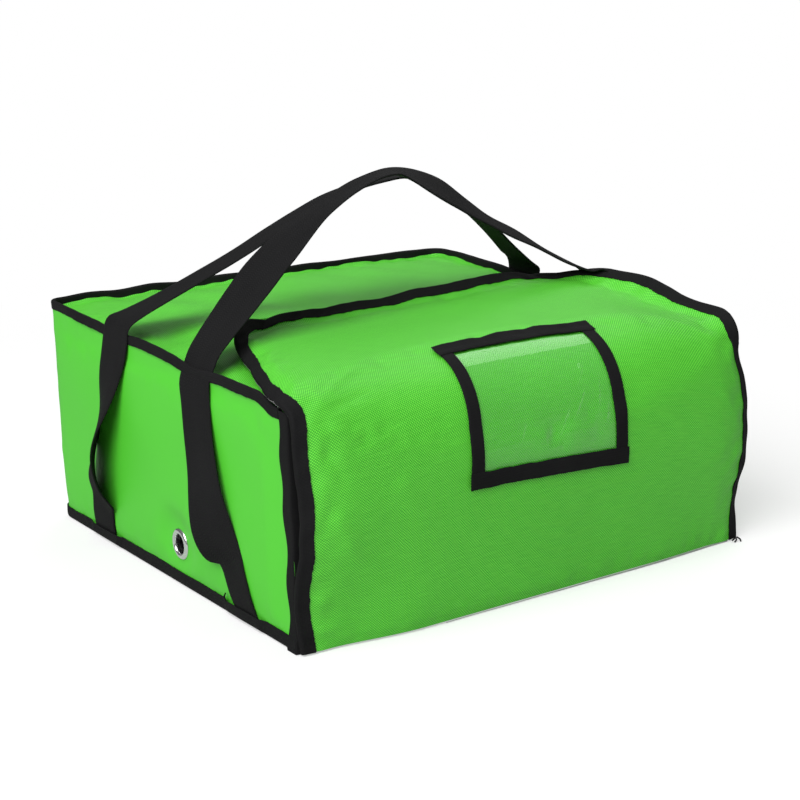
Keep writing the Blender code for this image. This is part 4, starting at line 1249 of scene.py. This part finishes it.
# loose ends of sewing thread
for name, rides, thread in (
    (
        "looseThreadLeft", "bag_body",
        ((-0.2325, -0.1165, 0.0125), (-0.2330, -0.1150, 0.0160), (-0.2322, -0.1160, 0.0195))
    ),
    (
        "looseThreadLow", "flap_front",
        ((0.2240, -0.2445, 0.0030), (0.2225, -0.2475, 0.0022), (0.2190, -0.2490, 0.0010))
    ),
    (
        "looseThreadSide", "flap_front",
        ((0.2250, -0.2450, 0.0035), (body["panelHalf"], -0.2480, 0.0020), (0.2250, -0.2505, 0.0008))
    ),
    (
        "looseThreadEnd", "flap_front",
        ((0.2235, -0.2440, 0.0030), (0.2205, -0.2470, 0.0035), (0.2175, -0.2470, 0.0020))
    ),
):
    path = smoothPath(thread, 6)
    way = unit(np.gradient(path, axis=0))
    outs = unit(np.cross(way, [1.0, 0.3, 0.2]))
    profile = [(0.0007 * math.cos(a), 0.0007 * math.sin(a)) for a in np.linspace(0, 2 * math.pi, 9)[:-1]]
    piece = addSweep(name, path, outs, np.cross(way, outs), profile, blackTape)
    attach(piece, rides)
print("flap made")

# closure strips: loops on the top panel, hooks under the flap
closure = {"y": -0.060, "length": 0.200, "width": 0.025, "thickness": 0.0014}
halfLength, halfWidth = closure["length"] / 2, closure["width"] / 2
stripX, stripY = np.meshgrid(
    np.linspace(-halfLength, halfLength, 90), np.linspace(
        closure["y"] - halfWidth, closure["y"] + halfWidth, 22
    )
)
level = topHeight(stripX, stripY) + 0.0002
edge = np.minimum(
    halfLength - np.abs(stripX), halfWidth - np.abs(stripY - closure["y"])
)
thick = closure["thickness"] * (0.35 + 0.65 * smoothStep(edge / 0.0022))
upper = np.stack([stripX, stripY, level + thick], axis=-1)
lower = np.stack([stripX, stripY, level], axis=-1)
loopStrip = addShell(
    "loopStrip", upper, lower, np.stack([stripX, stripY], axis=-1), closureStrip
)
fixTo("bag_body", loopStrip, "loop_strip")
closureRun = (
    flapBend
    + flap["topRun"] * (closure["y"] - (flap["faceY"] + 0.040)) / (flap["endY"] - (flap["faceY"] + 0.040))
)
stripRun = closureRun + stripY - closure["y"]
upper = flapPoint(stripX, stripRun, -0.0002, under=True)
lower = flapPoint(stripX, stripRun, -0.0002 - thick, under=True)
hookStrip = addShell(
    "hookStrip", upper, lower, np.stack([stripX, stripRun], axis=-1), closureStrip
)
fixTo("flap_top", hookStrip, "hook_strip")

# ticket window
window = {
    "left": -0.081, "right": 0.081, "lowZ": 0.1105, "highY": -0.1905, "topShift": 0.0065, "tilt": 0.0035,
    "bar": 0.0125, "bars": 0.0009, "pane": 0.0005
}
frontRuns = np.linspace(0, flapBend, 200)
lowRun = float(np.interp(window["lowZ"], flapBase(0.0, frontRuns)[:, 2], frontRuns))
pastBend, topReach = (y - flap["faceY"] - flap["middleBend"] for y in (window["highY"], flap["endY"]))
highRun = flapBend + flap["topRun"] * pastBend / topReach


# crinkles of the vinyl: x and run of both ends, width, height
paneFolds = (
    (0.052, 0.178, 0.030, 0.150, 0.0018, 0.0012),
    (0.046, 0.160, 0.018, 0.128, 0.0017, 0.0013),
    (0.062, 0.168, 0.050, 0.132, 0.0017, 0.0012),
    (0.066, 0.150, 0.056, 0.124, 0.0018, 0.0011),
    (0.026, 0.150, 0.006, 0.122, 0.0017, 0.0012),
    (-0.020, 0.146, -0.034, 0.124, 0.0019, 0.0010),
    (-0.040, 0.150, 0.010, 0.158, 0.0014, 0.0004),
    (-0.068, 0.232, 0.066, 0.236, 0.0022, 0.0007),
    (-0.060, 0.268, 0.040, 0.260, 0.0016, 0.0005),
    (-0.050, 0.256, 0.055, 0.270, 0.0014, 0.0005),
)


def flapPatch(name, low, high, out, thick, columns, rows, look, rounded=0.0):
    # sheet that lies on the flap between two corners of its flat pattern
    x, run = np.meshgrid(np.linspace(low[0], high[0], columns), np.linspace(low[1], high[1], rows))
    edge = np.minimum(np.minimum(x - low[0], high[0] - x), np.minimum(run - low[1], high[1] - run))
    up = (run - lowRun) / (highRun - lowRun)
    run = run - window["tilt"] * (1 - up) * x / window["right"]
    x = x + window["topShift"] * smoothStep(up) * (1 - 0.27 * x / window["right"])
    share = 0.45 + 0.55 * smoothStep(edge / rounded) if rounded else 1.0
    ripple = 0.0
    if look is blackTape:
        nibs = frayed(columns * rows, int(1000 * (low[0] + 1)), 0.00012).reshape(rows, columns)
        ripple = nibs * (edge < 1e-6)
        ripple = ripple + 0.0003 * softWaves(x, run, 97, 0.03)
    raised = creased(x, run, paneFolds) if look is clearVinyl else 0.0
    upper = flapPoint(x + ripple, run + ripple, out + thick * share + raised)
    lower = flapPoint(x + ripple, run + ripple, out + 0 * x + raised)
    tips = edge[..., None]
    return addShell(
        name, upper, lower, np.concatenate([np.stack([x, run], axis=-1), tips], axis=-1), look
    )


bar = window["bar"]
pane = flapPatch(
    "windowPane", (window["left"] + 0.006, lowRun + 0.006), (window["right"] - 0.006, highRun - 0.006),
    0.0005, window["pane"], 190, 190, clearVinyl
)
joinFlap(pane, "window_pane_front", "window_pane_top")
for name, low, high, out, nodes in (
    (
        "windowLeftBar", (window["left"], lowRun + 0.002), (window["left"] + bar, highRun - 0.002), 0.0013,
        ("window_left_bar_front", "window_left_bar_top")
    ),
    (
        "windowRightBar", (window["right"] - bar, lowRun + 0.002), (window["right"], highRun - 0.002), 0.0013,
        ("window_right_bar_front", "window_right_bar_top")
    ),
    (
        "windowBottomBar", (window["left"] - 0.001, lowRun), (window["right"] + 0.001, lowRun + bar), 0.0022,
        ("window_bottom_bar",)
    ),
    (
        "windowTopBar", (window["left"] - 0.0015, highRun - bar), (window["right"] + 0.001, highRun), 0.0022,
        ("window_top_bar",)
    ),
):
    columns, rows = (12, 90) if high[0] - low[0] < 0.02 else (110, 12)
    piece = flapPatch(name, low, high, out, window["bars"], columns, rows, blackTape, 0.0012)
    joinFlap(piece, *nodes)
print("window made")

# webbing: side straps that run on into the handles
web = {"width": 0.050, "thickness": 0.0016, "footZ": 0.0086, "shoulderX": 0.2307}
bowShares = {
    "front": (
        (0, 0), (0.02, 0.40), (0.06, 0.66), (0.15, 1.02), (0.28, 1.08), (0.42, 0.92), (0.62, 0.6),
        (0.8, 0.25), (0.92, 0)
    ),
    "back": (
        (0, 0), (0.05, 0.42), (0.13, 0.8), (0.27, 1), (0.42, 0.95), (0.62, 0.55), (0.8, 0.18), (0.92, 0)
    ),
}
handles = {
    "front": {
        "topY": strapTops["front"], "footY": strapFeet["front"] + 0.003, "sewnZ": 0.0535, "bow": 0.0082,
        "footWidth": 0.037, "footShift": -0.0065, "turn": 20, "turnZ": 0.066, "turnTall": 0.034
    },
    "back": {
        "topY": strapTops["back"], "footY": strapFeet["back"] - 0.001, "sewnZ": 0.045, "bow": 0.0125,
        "footWidth": 0.043, "footShift": 0.002, "turn": -33, "turnZ": 0.105, "turnTall": 0.045
    },
}
# each leg of the handles from its shoulder to the top: x, y, z, and the webbing's turn in degrees
legs = {
    ("front", -1): (
        (-0.2180, -0.0745, 0.2145, 0), (-0.1875, -0.068, 0.2415, 6), (-0.1545, -0.061, 0.2690, 9), (
            -0.1250, -0.054, 0.2900, 6
        ),
        (-0.0960, -0.047, 0.3080, -4), (-0.0600, -0.040, 0.3240, -10), (-0.0243, -0.030, 0.3345, -8), (
            0.0, -0.0262, 0.3378, -4
        ),
    ),
    ("front", 1): (
        (0.2165, -0.0735, 0.2140, 0), (0.2105, -0.0630, 0.2245, 2), (0.1962, -0.0560, 0.2326, 8), (
            0.1735, -0.0480, 0.2450, 13
        ),
        (0.1453, -0.0405, 0.2635, 17), (0.1179, -0.0330, 0.2787, 19), (0.0938, -0.0270, 0.2956, 24), (
            0.0664, -0.0262, 0.3136, 28
        ),
        (0.0378, -0.0262, 0.3274, 22), (0.0160, -0.0262, 0.3350, 10), (0.0, -0.0262, 0.3378, -4),
    ),
    ("back", -1): (
        (-0.2277, 0.0700, 0.2190, 0), (-0.2027, 0.065, 0.2300, -6), (-0.1656, 0.056, 0.2470, -9), (
            -0.1186, 0.046, 0.2690, -9
        ),
        (-0.0847, 0.040, 0.2868, -9), (-0.0504, 0.034, 0.3032, -9), (-0.0151, 0.029, 0.3175, -8), (
            0.0380, 0.0262, 0.3270, -4
        ),
    ),
    ("back", 1): (
        (0.2277, 0.0700, 0.2165, 0), (0.2110, 0.0620, 0.2280, 6), (0.1840, 0.050, 0.2475, 9), (
        0.1560, 0.040, 0.2690, 9
    ),
        (0.1340, 0.034, 0.2845, 9), (0.1085, 0.029, 0.2995, 10), (0.0815, 0.0265, 0.3145, 9), (
            0.0560, 0.0262, 0.3240, 2
        ),
        (0.0380, 0.0262, 0.3270, -4),
    ),
}


def wallStationAt(side, y):
    s = y - body["mouthY"]
    return s if side < 0 else wallLength - s


def webbingPath(side, kind):
    # middle line of one strap from its foot up the wall, over the seam and along half of the handle, with its
    # turn
    shape = handles[kind]
    seat = float(seamHeight(np.array(side * body["half"]), np.array(shape["topY"]))) + web["thickness"]
    path = []
    slope = lambda z: shape["footY"] + (shape["topY"] - shape["footY"]) * (z - 0.013) / (0.2046 - 0.013)
    for z in np.linspace(web["footZ"], shape["sewnZ"] - 0.006, 5):
        y = slope(z)
        s = wallStationAt(side, y)
        x = body["half"] + float(wallSwell(np.array(s), np.array(z))) + 0.0004 + web["thickness"] / 2
        path.append((side * x, y, z, 0.0))
    for up, out in smoothPath(bowShares[kind], 3)[1:]:
        z = shape["sewnZ"] + (seat - shape["sewnZ"]) * up
        y = slope(shape["sewnZ"] + (0.2046 - shape["sewnZ"]) * up)
        wall = float(wallSwell(np.array(wallStationAt(side, y)), np.array(min(z, 0.19))))
        x = (
            body["half"] + wall * (1 - up) + 0.0012 + (web["shoulderX"] - 0.2297) * smoothStep(up)
            + shape["bow"] * max(0.0, out)
        )
        turn = shape["turn"] * math.exp(-(((z - shape["turnZ"]) / shape["turnTall"]) ** 2))
        path.append((side * float(x), y, z, turn))
    for point in smoothPath(legs[kind, side], 5):
        path.append(tuple(point))
    return np.array(path)


def evenPath(path, step):
    far = np.concatenate([[0], np.cumsum(np.linalg.norm(np.diff(path[:, :3], axis=0), axis=1))])
    wanted = np.linspace(0, far[-1], int(far[-1] / step))
    return np.stack([np.interp(wanted, far, values) for values in path.T], axis=-1), wanted


def softened(path, times):
    for _ in range(times):
        path[1:-1] = path[1:-1] * 0.5 + (path[:-2] + path[2:]) * 0.25
    return path


def webbingSection(width, thickness):
    # rounded flat section, as (across, out) points
    half, t = width / 2, thickness / 2
    across = np.linspace(-half + t, half - t, 15)
    top = [(a, t * (1 - 0.18 * math.cos(a / half * 3.1))) for a in across]
    low = [(a, -t) for a in across[::-1]]
    return top + [(half - 0.3 * t, 0.7 * t), (half, 0.0), (half - 0.3 * t, -0.7 * t)] + low + [
        (-half + 0.3 * t, -0.7 * t), (-half, 0.0), (-half + 0.3 * t, 0.7 * t)
    ]


def webbingFrames(kind):
    # stations of one strap from its left foot over the handle to its right foot, with the directions across
    # the webbing and out of its face
    left, right = webbingPath(-1, kind), webbingPath(1, kind)
    path, far = evenPath(np.concatenate([left, right[::-1][1:]]), 0.004)
    top = int(np.argmin(np.linalg.norm(path[:, :3] - left[-1, :3], axis=1)))
    path = softened(path, 3)
    fromFoot = np.minimum(far, far[-1] - far)
    twist = np.radians(path[:, 3]) + 0.03 * wavesAlong(far, 101, 0.16) * smoothStep((fromFoot - 0.06) / 0.05)
    path = path[:, :3]
    way = unit(np.gradient(path, axis=0))
    across = steady(len(path), 0, 1, 0)
    # square to the webbing, but level at its feet
    square = smoothStep((path[:, 2:] - 0.011) / 0.012)
    across = unit(across - way * (across * way).sum(axis=1, keepdims=True) * square)
    # a positive turn shows the webbing's upper face to the front
    above = unit(np.cross(way, across))
    wide = across * np.cos(twist)[:, None] + above * np.sin(twist)[:, None]
    return path, wide, above * np.cos(twist)[:, None] - across * np.sin(twist)[:, None], fromFoot, top


section = np.array(webbingSection(web["width"], web["thickness"]))
edgeTips = web["width"] / 2 - np.abs(section[:, 0])
for kind, joint in (("front", "handle_front"), ("back", "handle_back")):
    shape = handles[kind]
    path, turnedWide, turnedOut, fromFoot, top = webbingFrames(kind)
    profile = np.repeat(section[None], len(path), axis=0)
    sewn = (smoothStep((shape["sewnZ"] + 0.001 - path[:, 2]) / 0.004) * (fromFoot < 0.08))[:, None]
    profile[..., 0] *= 1 + (shape["footWidth"] / web["width"] - 1) * sewn
    profile[..., 0] += shape["footShift"] * sewn
    profile[..., 0] += 0.0005 * softWaves(fromFoot, path[:, 0], 103, 0.05)[:, None]
    crown = 1 - (2 * profile[..., 0] / web["width"]) ** 2
    profile[..., 1] += 0.0004 * crown * smoothStep((fromFoot - 0.06) / 0.05)[:, None]
    for side, word, part in ((-1, "left", slice(0, top + 1)), (1, "right", slice(top, None))):
        piece = addSweep(
            word + kind.capitalize() + "Webbing", path[part], turnedWide[part], turnedOut[part],
            profile[part], blackWebbing, edgeTips
        )
        place = shape["topY"]
        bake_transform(piece)
        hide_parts(word + "_" + kind + "_strap", kind + "_handle")
print("webbing made")

# stage, light and camera
stage = {"floor": 0.60, "world": 0.18, "lift": 0.44, "fadeStart": 0.45, "fadeEnd": 1.3}


def seenByCamera(look):
    # 1 for the camera's rays, also past the vinyl
    path = addNode(look, "LightPath")
    through = mathNode(
        look, "GREATER_THAN", path.outputs["Is Transmission Ray"], path.outputs["Diffuse Depth"]
    )
    return mathNode(look, "MAXIMUM", path.outputs["Is Camera Ray"], through)


def toSurface(look, output, shader):
    look.node_tree.links.new(shader.outputs[0], look.node_tree.nodes[output].inputs["Surface"])


floorMesh = bpy.data.meshes.new("studioFloor")
floorMesh.from_pydata([(-9, -9, 0), (9, -9, 0), (9, 9, 0), (-9, 9, 0)], [], [(0, 1, 2, 3)])
floor = bpy.data.objects.new("studioFloor", floorMesh)
bpy.context.scene.collection.objects.link(floor)
floorLook, floorShader = newLook("studioFloor", 0.9)
floorShader.inputs["Base Color"].default_value = (stage["floor"],) * 3 + (1.0,)
floorShader.inputs["Specular IOR Level"].default_value = 0.0
place = addNode(floorLook, "TexCoord").outputs["Object"]
away = addNode(floorLook, "VectorMath", {0: place}, operation="LENGTH").outputs["Value"]
fading = {"Value": away, "From Min": stage["fadeStart"], "From Max": stage["fadeEnd"]}
faded = addNode(floorLook, "MapRange", fading, interpolation_type="SMOOTHSTEP").outputs[0]
glow = addNode(floorLook, "Emission", {"Color": (1.0, 1.0, 1.0, 1.0), "Strength": stage["lift"]})
lifted = addNode(floorLook, "AddShader", {0: floorShader.outputs[0], 1: glow.outputs[0]})
plain = addNode(floorLook, "Emission", {"Color": (1.0, 1.0, 1.0, 1.0), "Strength": 1.0})
shown = addNode(floorLook, "MixShader", {0: faded, 1: lifted.outputs[0], 2: plain.outputs[0]})
sides = {0: seenByCamera(floorLook), 1: floorShader.outputs[0], 2: shown.outputs[0]}
mix = addNode(floorLook, "MixShader", sides)
toSurface(floorLook, "Material Output", mix)
floorMesh.materials.append(floorLook)

world = bpy.data.worlds.new("studio")
world.use_nodes = True
bpy.context.scene.world = world
soft = world.node_tree.nodes["Background"]
soft.inputs["Color"].default_value = (1.0, 1.0, 1.0, 1.0)
soft.inputs["Strength"].default_value = stage["world"]
white = addNode(world, "Background", {"Color": (1.0, 1.0, 1.0, 1.0), "Strength": 1.0})
mix = addNode(world, "MixShader", {0: seenByCamera(world), 1: soft.outputs[0], 2: white.outputs[0]})
toSurface(world, "World Output", mix)

lamps = {
    "keySoftbox": {"place": (-2.95, -1.50, 3.30), "size": 3.6, "power": 255},
    "backSoftbox": {"place": (1.27, 0.95, 1.9), "size": 1.7, "power": 12},
    "topSoftbox": {"place": (0.60, -0.28, 2.3), "size": 1.0, "power": 4},
}
for name, lamp in lamps.items():
    light = bpy.data.lights.new(name, "AREA")
    light.shape = "SQUARE"
    light.size = lamp["size"]
    light.energy = lamp["power"]
    box = bpy.data.objects.new(name, light)
    box.location = lamp["place"]
    box.rotation_euler = (Vector((0, 0, 0.1)) - Vector(lamp["place"])).to_track_quat("-Z", "Y").to_euler()
    bpy.context.scene.collection.objects.link(box)

cameraSet = {
    "yaw": -33.371, "pitch": 14.394, "roll": -1.936, "distance": 1.67881, "right": 0.0201656, "up": 0.1183362,
    "lens": 78.95
}
yaw, pitch, roll = (math.radians(cameraSet[key]) for key in ("yaw", "pitch", "roll"))
back = Vector((math.sin(yaw) * math.cos(pitch), -math.cos(yaw) * math.cos(pitch), math.sin(pitch)))
right = Vector((math.cos(yaw), math.sin(yaw), 0))
up = back.cross(right)
place = back * cameraSet["distance"] + right * cameraSet["right"] + up * cameraSet["up"]
rightTurned = right * math.cos(roll) + up * math.sin(roll)
upTurned = up * math.cos(roll) - right * math.sin(roll)
cameraData = bpy.data.cameras.new("camera")
cameraData.lens = cameraSet["lens"]
cameraData.sensor_width = 36
camera = bpy.data.objects.new("camera", cameraData)
camera.matrix_world = Matrix.Translation(place) @ Matrix((rightTurned, upTurned, back)).transposed().to_4x4()
bpy.context.scene.collection.objects.link(camera)
bpy.context.scene.camera = camera
bpy.context.scene.view_settings.view_transform = "Standard"

print("scene ready")
